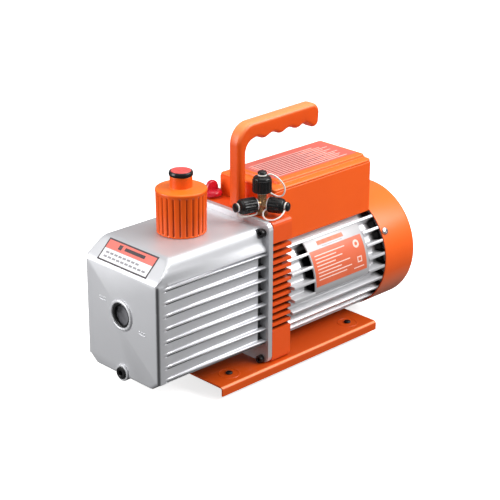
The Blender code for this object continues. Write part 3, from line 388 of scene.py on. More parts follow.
def make_materials():
    return {
        # Painted shade darkens the tank's ridge grooves, the pocket by the flange, its front corners and its
        # bottom edge.
        "tank": shaded("tank_aluminium", (0.70, 0.705, 0.73), (0.67, 0.675, 0.70), 0.45, 2400.0, 0.02, 0.6,
            0.14, tank_painted_shade),
        # Painted shade, near black, on the fin floors under the name plate's pad and under the fan cover's
        # rim.
        "fins": shaded("fin_aluminium", (0.72, 0.72, 0.735), (0.68, 0.68, 0.70), 0.42, 1500.0, 0.012, 0.45,
            0.02, fin_painted_shade, (0.03, 1, 1)),
        "pad": surface("plate_aluminium", (0.50, 0.495, 0.505), (0.46, 0.455, 0.465), 0.5, 0.05, 18.0,
            1500.0, 0.01, (0.03, 1, 1), Metallic=0.3),
        # Painted shade darkens the floors of the module's grooves.
        "module": shaded("module_paint", (0.86, 0.098, 0.010), (0.82, 0.09, 0.009), 0.38, 1100.0, 0.012,
            0.0, 0.24, module_painted_shade),
        # Painted highlight: faces that point up are a lighter, yellower orange.
        "paint": surface("orange_paint", (0.90, 0.115, 0.009), (0.87, 0.106, 0.008), 0.36, 0.04, 14.0,
            1100.0, 0.012, top_painted_light=(0.92, 0.175, 0.02), Specular_IOR_Level=0.45),
        # Painted highlight on faces that point up, and a painted reflection of the floor on faces that point
        # down.
        "cover_paint": surface("cover_paint", (0.90, 0.115, 0.009), (0.87, 0.106, 0.008), 0.36, 0.04, 14.0,
            1100.0, 0.012, top_painted_light=(0.92, 0.175, 0.02), underside_painted_reflection=(1.0, 0.34, 0.2)),
        # A darker copy of the orange paint as painted shade, darker still on faces that point up, with a
        # painted highlight along the lips.
        "base_paint": surface("base_paint", (0.74, 0.09, 0.006), (0.68, 0.08, 0.006), 0.34, 0.04, 14.0,
            1100.0, 0.012, top_painted_light=(0.64, 0.078, 0.006), masks=lip_painted_highlight, masked_painted_light=(0.98, 0.34, 0.13)),
        # Painted highlight on faces that point up, and painted shade in the floors of the flutes.
        "fluted": surface("fluted_plastic", (0.82, 0.10, 0.006), (0.77, 0.09, 0.005), 0.34, 0.04, 20.0,
            2600.0, 0.006, top_painted_light=(0.90, 0.18, 0.016), masks=flute_painted_shade, masked_painted_light=(0.22, 0.02, 0.002),
            Specular_IOR_Level=0.3),
        # Painted highlight: faces that point up are a pale orange.
        "grip": surface("grip_plastic", (0.76, 0.085, 0.005), (0.71, 0.078, 0.005), 0.34, 0.04, 20.0,
            2600.0, 0.006, top_painted_light=(1.0, 0.30, 0.10), Specular_IOR_Level=0.35),
        # Painted highlight on faces that point up.
        "orange_plastic": surface("orange_plastic", (0.80, 0.094, 0.005), (0.75, 0.085, 0.004), 0.34, 0.04,
            20.0, 2600.0, 0.006, top_painted_light=(0.90, 0.18, 0.016), Specular_IOR_Level=0.3),
        "cast": surface("cast_aluminium", (0.70, 0.705, 0.73), (0.67, 0.675, 0.70), 0.45, 0.03, 14.0,
            2400.0, 0.02, Metallic=0.55),
        "black_steel": surface("black_steel", (0.012, 0.012, 0.013), (0.02, 0.02, 0.021), 0.34, 0.08, 120.0,
            3000.0, 0.01, Metallic=0.3),
        "rubber": surface("rubber", (0.022, 0.022, 0.022), (0.035, 0.034, 0.033), 0.75, 0.1, 90.0, 3000.0,
            0.02),
        "black_plastic": surface("black_plastic", (0.007, 0.007, 0.0075), (0.012, 0.012, 0.0125), 0.28,
            0.06, 60.0, 3200.0, 0.006, Specular_IOR_Level=0.35),
        "felt": surface("filter_felt", (0.72, 0.70, 0.62), (0.60, 0.57, 0.48), 0.92, 0.05, 60.0, 5000.0,
            0.12, Sheen_Weight=0.3),
        "cast_iron": surface("cast_iron", (0.20, 0.20, 0.21), (0.13, 0.13, 0.135), 0.55, 0.12, 40.0, 1800.0,
            0.05, Metallic=0.8),
        "steel": surface("machined_steel", (0.52, 0.52, 0.54), (0.42, 0.42, 0.44), 0.3, 0.1, 50.0, 2200.0,
            0.008, (1, 0.04, 0.04), Metallic=1.0),
        "vane": surface("carbon_vane", (0.05, 0.05, 0.052), (0.09, 0.088, 0.085), 0.5, 0.1, 80.0, 2600.0,
            0.02),
        "copper": surface("copper_winding", (0.45, 0.17, 0.06), (0.32, 0.10, 0.04), 0.36, 0.1, 120.0,
            1500.0, 0.15, (0.2, 1, 1), Metallic=0.8),
        "chrome": surface("chrome", (0.82, 0.82, 0.84), (0.74, 0.74, 0.77), 0.14, 0.06, 90.0, 2400.0, 0.003,
            Metallic=1.0),
        "brass": surface("brass", (0.50, 0.30, 0.15), (0.36, 0.20, 0.10), 0.32, 0.1, 120.0, 2200.0, 0.012,
            Metallic=0.75),
        "silicone": surface("clear_silicone", (0.90, 0.86, 0.83), (0.84, 0.78, 0.74), 0.32, 0.08, 60.0,
            1800.0, 0.01, Subsurface_Weight=0.2, Subsurface_Scale=0.002),
        "red": surface("red_plastic", (0.62, 0.008, 0.035), (0.50, 0.006, 0.025), 0.26, 0.06, 50.0, 2600.0,
            0.006, Coat_Weight=0.3, Coat_Roughness=0.15),
        # Painted light makes one side of the dark window paler.
        "window": surface("dark_window", (0.012, 0.012, 0.014), (0.10, 0.10, 0.11), 0.10, 0.03, 90.0, 400.0,
            0.004, masks=window_painted_light, masked_painted_light=(0.24, 0.24, 0.26), Coat_Weight=0.6, Coat_Roughness=0.04),
        "dark": surface("label_dark", (0.06, 0.05, 0.055), (0.09, 0.075, 0.08), 0.4, 0.05, 200.0),
        "grey_ink": surface("label_grey", (0.26, 0.25, 0.27), (0.36, 0.35, 0.37), 0.45, 0.05, 400.0),
        "white": surface("label_white", (0.90, 0.90, 0.91), (0.84, 0.84, 0.86), 0.35, 0.05, 40.0),
        "salmon": surface("label_salmon", (0.93, 0.22, 0.18), (0.88, 0.19, 0.155), 0.35, 0.05, 40.0),
        "rose": surface("label_rose", (0.74, 0.145, 0.11), (0.68, 0.125, 0.09), 0.34, 0.05, 30.0),
        "maroon": surface("label_maroon", (0.42, 0.05, 0.06), (0.34, 0.04, 0.05), 0.4, 0.05, 300.0),
        "brick": surface("label_orange", (0.74, 0.15, 0.066), (0.68, 0.128, 0.054), 0.36, 0.05, 30.0),
        "pale_ink": surface("label_pale", (0.93, 0.68, 0.60), (0.90, 0.60, 0.52), 0.4, 0.05, 500.0),
        "orange_ink": surface("label_bar", (0.72, 0.16, 0.06), (0.66, 0.14, 0.05), 0.4, 0.05, 200.0),
        "plug_red": surface("plug_red", (0.80, 0.10, 0.09), (0.72, 0.08, 0.07), 0.32, 0.05, 60.0),
    }


# Mesh helpers --------------------


def put(name, bm, looks, body=BODY, sharp=34, stands_for=None):
    """Make a piece of a mesh that is in row coordinates, give it its looks and have it ride on a body."""
    bmesh.ops.recalc_face_normals(bm, faces=bm.faces)
    mesh = bpy.data.meshes.new(name)
    bm.to_mesh(mesh)
    bm.free()
    for look in [looks] if isinstance(looks, str) else looks:
        mesh.materials.append(LOOKS[look])
    mesh.shade_smooth()
    mesh.set_sharp_from_angle(angle=radians(sharp))
    piece = link(name, mesh)
    if isinstance(body, str):
        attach(piece, body)
    if stands_for:
        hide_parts(stands_for)
    return piece


def skin(rings, wrap=False, bm=None, ends=True):
    """Surface through rings of points. A ring of one point is a tip."""
    bm = bm or bmesh.new()
    loops = [[bm.verts.new(p) for p in ring] for ring in rings]
    pairs = list(zip(loops, loops[1:]))
    if wrap:
        pairs.append((loops[-1], loops[0]))
    for low, high in pairs:
        count = max(len(low), len(high))
        for k in range(count):
            j = k + 1
            corners = (low[k % len(low)], low[j % len(low)], high[j % len(high)], high[k % len(high)])
            bm.faces.new(list(dict.fromkeys(corners)))
    if ends and not wrap:
        for loop in (loops[0], loops[-1]):
            if len(loop) > 2:
                bm.faces.new(loop)
    return bm


def eased(points, radius, steps=3, closed=False):
    """The same line with each corner rounded off."""
    points = [Vector(p) for p in points]
    made = []
    count = len(points)
    for k, corner in enumerate(points):
        if not closed and k in (0, count - 1):
            made.append(corner)
            continue
        before, after = points[k - 1] - corner, points[(k + 1) % count] - corner
        reach = min(radius, before.length * 0.45, after.length * 0.45)
        start = corner + before.normalized() * reach
        end = corner + after.normalized() * reach
        for i in range(steps + 1):
            t = i / steps
            made.append(start * (1 - t) ** 2 + corner * 2 * t * (1 - t) + end * t * t)
    return made


def turned(profile, steps, centre, axis=(0, 0, 1), shape=None, wrap=False, bm=None):
    """Solid of revolution of (radius, along) points; shape(angle, radius, along) may change a radius."""
    tilt = Vector((0, 0, 1)).rotation_difference(Vector(axis)).to_matrix()
    centre = Vector(centre)
    rings = []
    for radius, along in profile:
        if radius < 1e-7:
            rings.append([centre + tilt @ Vector((0, 0, along))])
            continue
        ring = []
        for k in range(steps):
            a = 2 * pi * k / steps
            r = shape(a, radius, along) if shape else radius
            ring.append(centre + tilt @ Vector((r * cos(a), r * sin(a), along)))
        rings.append(ring)
    return skin(rings, wrap, bm)


def slab(outline, axis, start, end, edge=0.0, segments=3):
    """Flat outline pushed along an axis, with its two rims rounded. Outlines are (y, z), (x, z) or (x, y)."""
    turn = {"X": (2, 0, 1), "Y": (0, 2, 1), "Z": (0, 1, 2)}[axis]
    bm = bmesh.new()
    loops = []
    for depth in (start, end):
        corners = [(u, v, depth) for u, v in outline]
        loops.append([bm.verts.new([c[i] for i in turn]) for c in corners])
    count = len(outline)
    caps = [bm.faces.new(loop) for loop in loops]
    for k in range(count):
        j = (k + 1) % count
        bm.faces.new((loops[0][k], loops[0][j], loops[1][j], loops[1][k]))
    bmesh.ops.recalc_face_normals(bm, faces=bm.faces)
    if edge:
        rims = {e for cap in caps for e in cap.edges}
        bmesh.ops.bevel(bm, geom=list(rims), offset=edge, segments=segments, profile=0.5, affect="EDGES")
    return bm


def arc(u, v, radius, start, end, steps):
    angles = [radians(start + (end - start) * k / steps) for k in range(steps + 1)]
    return [(u + radius * cos(a), v + radius * sin(a)) for a in angles]


def rounded_rectangle(u0, u1, v0, v1, radius, steps=6):
    points = arc(u1 - radius, v1 - radius, radius, 0, 90, steps)
    points += arc(u0 + radius, v1 - radius, radius, 90, 180, steps)
    points += arc(u0 + radius, v0 + radius, radius, 180, 270, steps)
    return points + arc(u1 - radius, v0 + radius, radius, 270, 360, steps)


def rod(radius, start, end, steps, centre, axis=(0, 0, 1)):
    """Round rod along an axis, with its radius and its two ends in mm."""
    return turned(in_mm((0, start), (radius, start), (radius, end), (0, end)), steps, centre, axis)


def box(low, high):
    outline = ((low[0], low[1]), (high[0], low[1]), (high[0], high[1]), (low[0], high[1]))
    return slab(outline, "Z", low[2], high[2])


def scratch(bm):
    bmesh.ops.recalc_face_normals(bm, faces=bm.faces)
    mesh = bpy.data.meshes.new("scratch")
    bm.to_mesh(mesh)
    bm.free()
    return link("scratch", mesh)


def carved(bm, tools, operation="DIFFERENCE"):
    """The mesh with the tools cut out of it, or joined to it."""
    target = scratch(bm)
    helpers = [scratch(tool) for tool in tools]
    for helper in helpers:
        modifier = target.modifiers.new("boolean", "BOOLEAN")
        modifier.operation = operation
        modifier.solver = "EXACT"
        modifier.object = helper
    evaluated = target.evaluated_get(bpy.context.evaluated_depsgraph_get())
    made = bmesh.new()
    made.from_mesh(evaluated.to_mesh())
    for spare in (target, *helpers):
        bpy.data.objects.remove(spare)
    return made


def smooth_route(points, steps):
    """Curve through the points of a route."""
    guide = [points[0], *points, points[-1]]
    route = []
    for k in range(1, len(guide) - 2):
        a, b, c, d = guide[k - 1 : k + 3]
        for i in range(steps):
            t = i / steps
            curve = (2 * a - 5 * b + 4 * c - d) * t**2 + (3 * b - a - 3 * c + d) * t**3
            route.append(0.5 * (2 * b + (c - a) * t + curve))
    return route + [points[-1]]


def strand(route, radius, sides, bm=None):
    """Round strand along a route, with rounded ends."""
    across = Vector((0, 0, 1)).cross(route[1] - route[0])
    if across.length < 1e-9:
        across = Vector((1, 0, 0))
    rings = []
    for k, spot in enumerate(route):
        ahead = (route[min(k + 1, len(route) - 1)] - route[max(k - 1, 0)]).normalized()
        across = (across - ahead * across.dot(ahead)).normalized()
        over = ahead.cross(across)
        angles = [2 * pi * i / sides for i in range(sides)]
        rings.append([spot + (across * cos(a) + over * sin(a)) * radius for a in angles])
    return skin(rings, bm=bm)


def label(name, place, items, cell=6):
    """Printed label of items (look, u0, u1, v0, v1, lift) in mm; place(u, v, lift) is a point, in metres."""
    bm = bmesh.new()
    for index, (_, *sizes) in enumerate(items):
        u0, u1, v0, v1, lift = (size * MM for size in sizes)
        wide = max(1, round((u1 - u0) / (cell * MM)))
        tall = max(1, round((v1 - v0) / (cell * MM)))
        grids = []
        for height in (lift, -0.1 * MM):
            grids.append([[bm.verts.new(place(u0 + (u1 - u0) * i / wide, v0 + (v1 - v0) * j / tall, height))
                           for j in range(tall + 1)] for i in range(wide + 1)])
        for grid in grids:
            for i in range(wide):
                for j in range(tall):
                    corners = (grid[i][j], grid[i + 1][j], grid[i + 1][j + 1], grid[i][j + 1])
                    bm.faces.new(corners).material_index = index
        border = [(i, 0) for i in range(wide)] + [(wide, j) for j in range(tall)]
        border += [(wide - i, tall) for i in range(wide)] + [(0, tall - j) for j in range(tall)]
        for (i, j), (k, m) in zip(border, border[1:] + border[:1]):
            corners = (grids[0][i][j], grids[0][k][m], grids[1][k][m], grids[1][i][j])
            bm.faces.new(corners).material_index = index
    return put(name, bm, [item[0] for item in items])


def rows_of_bars(look, u0, u1, v_low, v_high, height, fill, lift):
    """Plain bars in rows, in place of lines of print; fill lists how far each row reaches, from the top."""
    made = []
    for k, reach in enumerate(fill):
        v = v_high - (v_high - v_low) * k / (len(fill) - 1)
        made.append((look, u0, u0 + (u1 - u0) * reach, v - height / 2, v + height / 2, lift))
    return made


# Oil tank --------------------

SLOPE_FOOT = 155.8 * MM
SLOPE_RUN = 23.3 * MM
SIDE_FRONT, SIDE_REAR = 57.8 * MM, 62.2 * MM
RIDGES = [(45 + 14.75 * k) * MM for k in range(8)]
# Up the ridge: height in mm, share of the ridge's reach, and undercut in mm
RIDGE_SHAPE = ((-3.6, 0, 0), (-3.05, 0, 0.1), (-2.75, 0, 1.3), (-1.75, 0, 1.5), (-1.5, 0.2, 0.8),
               (-1.3, 0.6, 0), (-1.05, 0.88, 0), (-0.6, 0.98, 0), (0, 1, 0), (0.6, 0.98, 0), (1.05, 0.88, 0),
               (1.3, 0.6, 0), (1.6, 0.2, 0), (2.2, 0.04, 0), (3.0, 0, 0))
# Behind the rounded front edge, places where the tank's cross-section changes, in mm
STATIONS = (4.4, 5.6, 6.8, 8, 9.4, 11, 12.6, 14.5, 16.5, 18.5, 20.5, 22, 23.3, 24.6, 26.2, 29, 45, 70, 95,
            120, 140, 146.6, 147.1, 147.7, 148.2, 152, 155.6)
# Offset sideways, rise and length of each dash of a level mark, in mm
LEVEL_DASHES = ((-4.6, 1.6, 2.6), (-0.9, 1.6, 2.6), (2.8, 1.6, 2.6), (-1.0, -1.6, 11.0))


def soft_min(a, b, reach):
    near = max(reach - abs(a - b), 0) / reach
    return min(a, b) - near * near * reach / 4


def ramp(x, start, run):
    """0 before start, rising to 1 over a run, both in mm."""
    return min(1, max(0, (x - start * MM) / (run * MM)))


def tank_outline(x):
    """Half of the tank's cross-section at a distance x from its front, from bottom to top."""
    side = SIDE_FRONT + (SIDE_REAR - SIDE_FRONT) * x / (FLANGE_FRONT - TANK_FRONT)
    pocket = ramp(x, 146.6, 1.6)
    floor = side + (57.0 * MM - 4.6 * MM * pocket - side) * ramp(x, 8, 11)
    cut = ramp(x, 10, 4) * (1 - pocket) * MM
    line = in_mm((0, 33.2), (30, 33.2), (43, 33.2), (45.6, 33.6), (47.4, 34.8))
    line.append((side - 2.2 * MM, 41.2 * MM))
    for z in RIDGES:
        for step, share, undercut in RIDGE_SHAPE:
            line.append((floor + (side - floor) * share - undercut * cut, z + step * MM))
    line += [(side - 0.2 * MM, 152.4 * MM), (side - 1.2 * MM, 156.0 * MM)]
    line += in_mm((57.6, 160.4), (56.2, 164.8), (55.0, 169.2), (53.9, 172.8), (52.6, 175.2), (50.6, 177.0),
                  (47.6, 177.8))
    line += [(y * MM, TANK_TOP) for y in (40, 30, 20, 10, 0)]
    return line


def tank_ring(x, inset):
    slope = SLOPE_FOOT + x * (TANK_TOP - SLOPE_FOOT) / SLOPE_RUN
    centre = 105 * MM
    half = []
    for y, z in tank_outline(x):
        z = soft_min(z, slope, 3 * MM)
        half.append((y * (1 - inset / (60 * MM)), centre + (z - centre) * (1 - inset / (72 * MM))))
    whole = half + [(-y, z) for y, z in reversed(half[1:-1])]
    return [Vector((TANK_FRONT + x, y, z)) for y, z in whole]


def make_tank():
    bevel = 3.2 * MM
    stations = []
    for k in range(5):
        a = pi / 2 * k / 4
        stations.append((bevel * (1 - cos(a)), bevel * (1 - sin(a))))
    stations += [(x * MM, 0.0) for x in STATIONS]
    shell = skin([tank_ring(x, inset) for x, inset in stations])
    window, drain = (TANK_FRONT, 0, WINDOW.z), (TANK_FRONT, 0, DRAIN.z)
    cuts = [
        rod(14, -3, 6, 48, window, REARWARD),
        rod(5.8, -6, 16, 24, drain, REARWARD),
        rod(15.3, -14, 4, 32, (CAP.x, 0, TANK_TOP)),
    ]
    for k in (1, 2, 3, 4):
        screw = middle(f"tank_screw_{k}")
        cuts.append(rod(6.4, 0, 9, 24, (FLANGE_FRONT - 8 * MM, screw.y, screw.z), REARWARD))
    cuts.append(box((TANK_FRONT + 14 * MM, -49 * MM, 41 * MM), (FLANGE_FRONT + 6 * MM, 49 * MM, 148 * MM)))
    put("tank_shell", carved(shell, cuts), "tank", stands_for="oil_tank", sharp=38)

    rim = eased(in_mm((14, 3), (14, -2), (16.9, -2), (18.2, 0.2), (18.2, 3)), 1.2 * MM, 4)
    boss = eased(in_mm((5.8, 20), (5.8, -2), (9.5, -2), (9.5, 20)), 1.0 * MM, 4)
    put("window_rim", turned(rim, 64, window, REARWARD, wrap=True), "cast")
    put("drain_boss", turned(boss, 48, drain, REARWARD, wrap=True), "cast")
    make_level_marks()
    make_tank_label()


def make_level_marks():
    for side, word, low in ((1, "upper", 0.2), (-1, "lower", -1.0)):
        centre = Vector((TANK_FRONT, side * 31.8 * MM, WINDOW.z + side * 10 * MM))
        for k, (offset, rise, length) in enumerate(LEVEL_DASHES, start=1):
            y0 = centre.y + (offset - length / 2) * MM
            z0 = centre.z + (rise + low) * MM
            outline = rounded_rectangle(y0, y0 + length * MM, z0 - 0.55 * MM, z0 + 0.55 * MM, 0.5 * MM, 3)
            mark = slab(outline, "X", TANK_FRONT - 0.45 * MM, TANK_FRONT + 0.5 * MM, 0.25 * MM, 2)
            put(f"level_dash_{word}_{k}", mark, "cast")


def make_tank_label():
    along = Vector((SLOPE_RUN, 0, TANK_TOP - SLOPE_FOOT)).normalized()
    outward = Vector((-along.z, 0, along.x))
    foot = Vector((TANK_FRONT, 1.0 * MM, SLOPE_FOOT))

    def place(u, v, lift):
        return foot + Vector((0, -u, 0)) + along * v + outward * (lift + INK_LIFT)

    wide, low, high, line = 39.5, 2.6, 29.6, 1.8
    band = low + (high - low) * 0.56
    items = [
        ("dark", -wide, wide, low, high, 0.10),
        ("white", -wide + line, wide - line, low + line, band, 0.16),
        ("salmon", -wide + line, wide - line, band + 0.3, high - line, 0.16),
        ("dark", -20, -14.5, band + 2.6, high - 3.6, 0.2),
        ("dark", -10, 22, band + 3.6, high - 4.4, 0.2),
    ]
    for count, under, over in ((8, band - 5.4, band - 3.2), (10, band - 10.2, band - 8.0)):
        items += [("grey_ink", -33 + k * 6.8, -33 + k * 6.8 + 5.2, under, over, 0.2) for k in range(count)]
    label("tank_label", place, items)


def make_window():
    front = TANK_FRONT + 2.6 * MM
    lens = eased(in_mm((0, 0.6), (8, 0.4), (13.4, 0), (13.4, -3.2), (0, -3.2)), 0.6 * MM, 3)
    put("sight_lens", turned(lens, 64, (front, 0, WINDOW.z), FORWARD), "window",
        stands_for="sight_glass")

    def notched(a, radius, along):
        dip = max(0.0, cos(2 * a)) ** 12
        return radius + dip * 1.1 * MM if radius < 12 * MM else radius

    ring = eased(in_mm((11.2, 0), (11.2, 2.6), (13.6, 2.6), (13.6, 0)), 0.5 * MM, 3)
    put("sight_ring", turned(ring, 72, (front - 0.4 * MM, 0, WINDOW.z), FORWARD, notched, wrap=True),
        "black_plastic", stands_for="sight_retainer")


RIM_SCREWS = {1: 29, 2: 151, 3: 270}


def hexagonal(reach):
    """Shape function that makes a socket's circles, whose radius is reach, six-sided."""
    def shape(a, radius, along):
        return reach / cos((a % (pi / 3)) - pi / 6) if abs(radius - reach) < 1e-6 else radius
    return shape


def rim_seat(k, lift=0.0):
    """Where a screw of the fan cover sits, and the direction in which it points."""
    angle = radians(RIM_SCREWS[k])
    outward = Vector((0, -cos(angle), sin(angle)))
    low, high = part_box(f"cover_screw_{k}")
    return Vector(((low.x + high.x) / 2, 0, SHAFT_Z)) + outward * (COVER_RADIUS + lift), outward


def make_screws():
    head = eased(in_mm((4.5, 0), (4.5, 5.2), (2.5, 5.2)), 0.5 * MM)
    profile = [*in_mm((0, -15), (2.4, -15), (2.4, 0)), *head, *in_mm((2.0, 4.9), (2.0, 2.4), (0, 2.0))]
    for k in (1, 2, 3, 4):
        low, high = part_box(f"tank_screw_{k}")
        seat = (FLANGE_FRONT - CLEARANCE, (low.y + high.y) / 2, (low.z + high.z) / 2)
        put(f"socket_screw_{k}", turned(profile, 36, seat, FORWARD, hexagonal(2.0 * MM)), "black_steel",
            stands_for=f"tank_screw_{k}")
    for k in (1, 2, 3, 4):
        low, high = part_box(f"foot_screw_{k}")
        seat = ((low.x + high.x) / 2, (low.y + high.y) / 2, BASE_TOP + CLEARANCE)
        put(f"base_screw_{k}", pan_head(3.9 * MM, 6.8 * MM, seat, (0, 0, 1)), "black_steel",
            stands_for=f"foot_screw_{k}")
    for k in RIM_SCREWS:
        put(f"rim_screw_{k}", pan_head(4.4 * MM, 1.6 * MM, *rim_seat(k, CLEARANCE)), "chrome",
            stands_for=f"cover_screw_{k}")


def pan_head(radius, reach, seat, axis):
    """Domed screw with a cross recess."""
    angles = [radians(t) for t in (0, 20, 40, 60, 78)]
    dome = [(radius * cos(a) ** 0.8, 1.0 * MM + 1.3 * MM * sin(a)) for a in angles]
    stem = [(0, -reach), (2.1 * MM, -reach), (2.1 * MM, 0), (radius * 0.97, 0), (radius, 0.4 * MM)]
    arm, half, low, high = radius * 0.52, radius * 0.13, 1.0 * MM, 4 * MM
    cross = [box((-arm, -half, low), (arm, half, high)), box((-half, -arm, low), (half, arm, high))]
    screw = carved(turned([*stem, *dome, (0, 2.35 * MM)], 32, (0, 0, 0)), cross)
    turn = Vector((0, 0, 1)).rotation_difference(Vector(axis)).to_matrix().to_4x4()
    bmesh.ops.transform(screw, matrix=Matrix.Translation(Vector(seat)) @ turn, verts=screw.verts)
    return screw


def make_drain():
    start = JOINTS["drain_turn"]["pos_m"]
    profile = in_mm((0, -10), (4.6, -10), (5.1, -9.4))
    for k in range(14):
        profile += in_mm((5.1, -9.0 + k * 0.7), (4.7, -8.65 + k * 0.7))
    flange = eased(in_mm((6.6, 1.5), (6.4, 2.0), (3.6, 2.0)), 0.25 * MM)
    profile += [(5.1 * MM, 1.5 * MM), *flange, *in_mm((3.2, 1.7), (3.0, -3), (0, -3.4))]
    put("drain_bolt", turned(profile, 36, start, FORWARD, hexagonal(3.0 * MM)), "black_steel", "drain_plug",
        stands_for="drain_plug")
    ring = eased(in_mm((5.3, -0.45), (6.9, -0.45), (6.9, 0.45), (5.3, 0.45)), 0.25 * MM)
    put("drain_seal", turned(ring, 48, DRAIN, FORWARD, wrap=True), "rubber", "drain_washer",
        stands_for="drain_washer")


# Exhaust cap --------------------


def make_exhaust():
    foot = (CAP.x, 0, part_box("exhaust_cap")[0].z)
    flutes = 24
    top = 43.5 * MM

    def fluted(a, radius, along):
        if radius < 26 * MM or not 1 * MM < along < top + 1.5 * MM:
            return radius
        away = abs((a * flutes / (2 * pi)) % 1 - 0.5) * 2 * pi / flutes * radius
        fade = min(1, (along - 1 * MM) / (1.2 * MM), (top + 1.5 * MM - along) / (1.4 * MM))
        groove = exp(-((3.54 * MM - away) / (0.95 * MM)) ** 2)
        return radius - (1.25 * groove + 0.12) * MM * fade

    outside = [(27.2 + 0.6 * z / 44, z) for z in (0.9, 1.4, 1.9, 2.6, 12, 22, 32, 41, 42.6, 43.4, 44.2, 45.0)]
    rim = eased(((27.8, 45.0), (28.2, 46.4), (27.9, 48.4), (25.8, 49.3), (13.6, 49.6)), 0.8, 4)[1:]
    neck = eased(((13.6, 49.6), (12.2, 50.0), (12.2, 62.6), (9.6, 62.6)), 0.7, 4)[1:]
    inside = [(9.6, 46.6), (25, 46.6), (25, 3.0), (15.3, 3.0), (15.3, 0.0), (26.6, 0.0), (27.1, 0.35)]
    profile = in_mm(*outside, *rim, *neck, *inside)
    put("fluted_cap", turned(profile, flutes * 12, foot, (0, 0, 1), fluted, wrap=True), "fluted",
        "exhaust_cap", stands_for="exhaust_cap", sharp=50)

    seat = (CAP.x, 0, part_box("exhaust_cap")[1].z + CLEARANCE)
    plug = ((0, -9), (8.6, -9), (9.2, -8.2), (9.2, 0), (12.9, 0), (13.25, 2.4), (12.5, 4.6), (11.6, 5.1),
            (11.0, 4.7), (0, 4.7))
    put("plug_body", turned(in_mm(*eased(plug, 0.6)), 64, seat), "black_plastic", "exhaust_plug",
        stands_for="exhaust_plug")
    disc = ((0, 4.5), (10.9, 4.5), (10.9, 5.2), (10.2, 5.6), (6.4, 5.75), (6.1, 5.45), (3.2, 5.5),
            (2.9, 5.85), (0, 5.95))
    put("plug_disc", turned(in_mm(*eased(disc, 0.3)), 64, seat), "plug_red", "exhaust_plug")


# Intake --------------------

PORT_START = 8.7 * MM
CAP_LENGTHS = {"top": 17.8 * MM, "left": 20.3 * MM, "right": 17.8 * MM}
CAP_RADII = {"top": 10.8 * MM, "left": 8.8 * MM, "right": 8.8 * MM}
CAP_SHOULDER = ((0.985, 4.0), (0.93, 3.7), (0.925, 3.2), (0.9, 1.9), (0.78, 0.8), (0.58, 0.15))
CAP_BUTTON = ((3.0, 0.3), (3.0, 2.3), (4.8, 2.4), (5.2, 2.8), (5.2, 3.9), (4.9, 4.6), (3.6, 5.6), (1.8, 6.05),
              (0, 6.1))
LEANS = {"left": (-0.24, -0.97), "right": (0.85, -0.53)}
# Each strap's route: distance out along the port and out to its side, in mm
ROUTES = {
    "top": ((7.8, 7), (5.8, 11), (2.8, 17), (4, 22.5), (10, 24.8), (17, 23), (24, 17),
            (28, 10.5), (27.9, 5.9)),
    "left": ((8, 7), (7.8, 10.3), (14, 11.3), (22, 11.3), (29, 9.8), (30.4, 5.9)),
    "right": ((7.8, 7), (5.5, 11), (7, 17), (12.5, 21), (19.5, 20.5), (25, 16), (27.6, 10), (27.9, 5.9)),
}


def port(name):
    joint = JOINTS[f"intake_cap_{name}_turn"]
    return Vector(joint["pos_m"]), Vector(joint["axis"])


def tether_side(name, outward):
    if name == "top":
        return Vector((0.72, -0.69, 0.0)).normalized()
    level = outward.cross(Vector((0, 0, 1)))
    lean, drop = LEANS[name]
    return (level * lean + Vector((0, 0, drop))).normalized()


def make_port_cap(name):
    origin, outward = port(name)
    radius = CAP_RADII[name]
    end = PORT_START + CAP_LENGTHS[name]
    ribs_start, ribs_end = PORT_START + 1.5 * MM, end - 4.6 * MM
    ribs = 14 if name == "top" else 12

    def ribbed(a, r, along):
        if r < radius * 0.96 or not PORT_START + 1.6 * MM < along < ribs_end:
            return r
        return r - 0.75 * MM * (0.5 + 0.5 * cos(a * ribs)) ** 3

    body = [(0, PORT_START + 12.4 * MM), (5.3 * MM, PORT_START + 12 * MM), (5.3 * MM, PORT_START)]
    body += [(radius - 0.5 * MM, PORT_START), (radius, PORT_START + 0.5 * MM), (radius, ribs_start)]
    body += [(radius, ribs_start + (ribs_end - ribs_start) * t) for t in (0.08, 0.3, 0.6, 0.92, 1.0)]
    body += [(radius * share, end - drop * MM) for share, drop in CAP_SHOULDER]
    body += [(3.3 * MM, end), *[(r * MM, end + z * MM) for r, z in CAP_BUTTON]]
    put(f"ribbed_cap_{name}", turned(body, ribs * 10, origin, outward, ribbed), "black_plastic",
        f"intake_cap_{name}", stands_for=f"intake_cap_{name}", sharp=40)


def make_strap(name):
    origin, outward = port(name)
    side = tether_side(name, outward)
    end = PORT_START + CAP_LENGTHS[name]
    neck = PORT_START - 1.6 * MM
    eye = eased(in_mm((3.3, 0.35), (5.0, 0.35), (5.0, 2.05), (3.3, 2.05)), 0.6 * MM, 3, True)
    put(f"strap_eye_{name}", turned(eye, 40, origin + outward * end, outward, wrap=True), "silicone",
        f"tether_eye_{name}", stands_for=f"tether_eye_{name}")
    ring = eased(in_mm((5.3, 0), (7.4, 0), (7.4, 1.3), (5.3, 1.3)), 0.4 * MM, 3, True)
    strap = turned(ring, 40, origin + outward * neck, outward, wrap=True)
    points = [origin + (outward * along + side * out) * MM for along, out in ROUTES[name]]
    strand(smooth_route(points, 9), 0.9 * MM, 14, strap)
    piece = put(f"strap_{name}", strap, "silicone", None,
                stands_for=f"tether_{name}", sharp=60)
    start, stop = origin + outward * (neck + 2 * MM), origin + outward * (end + 1 * MM)
    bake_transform(piece)
    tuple(start)
    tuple(stop)


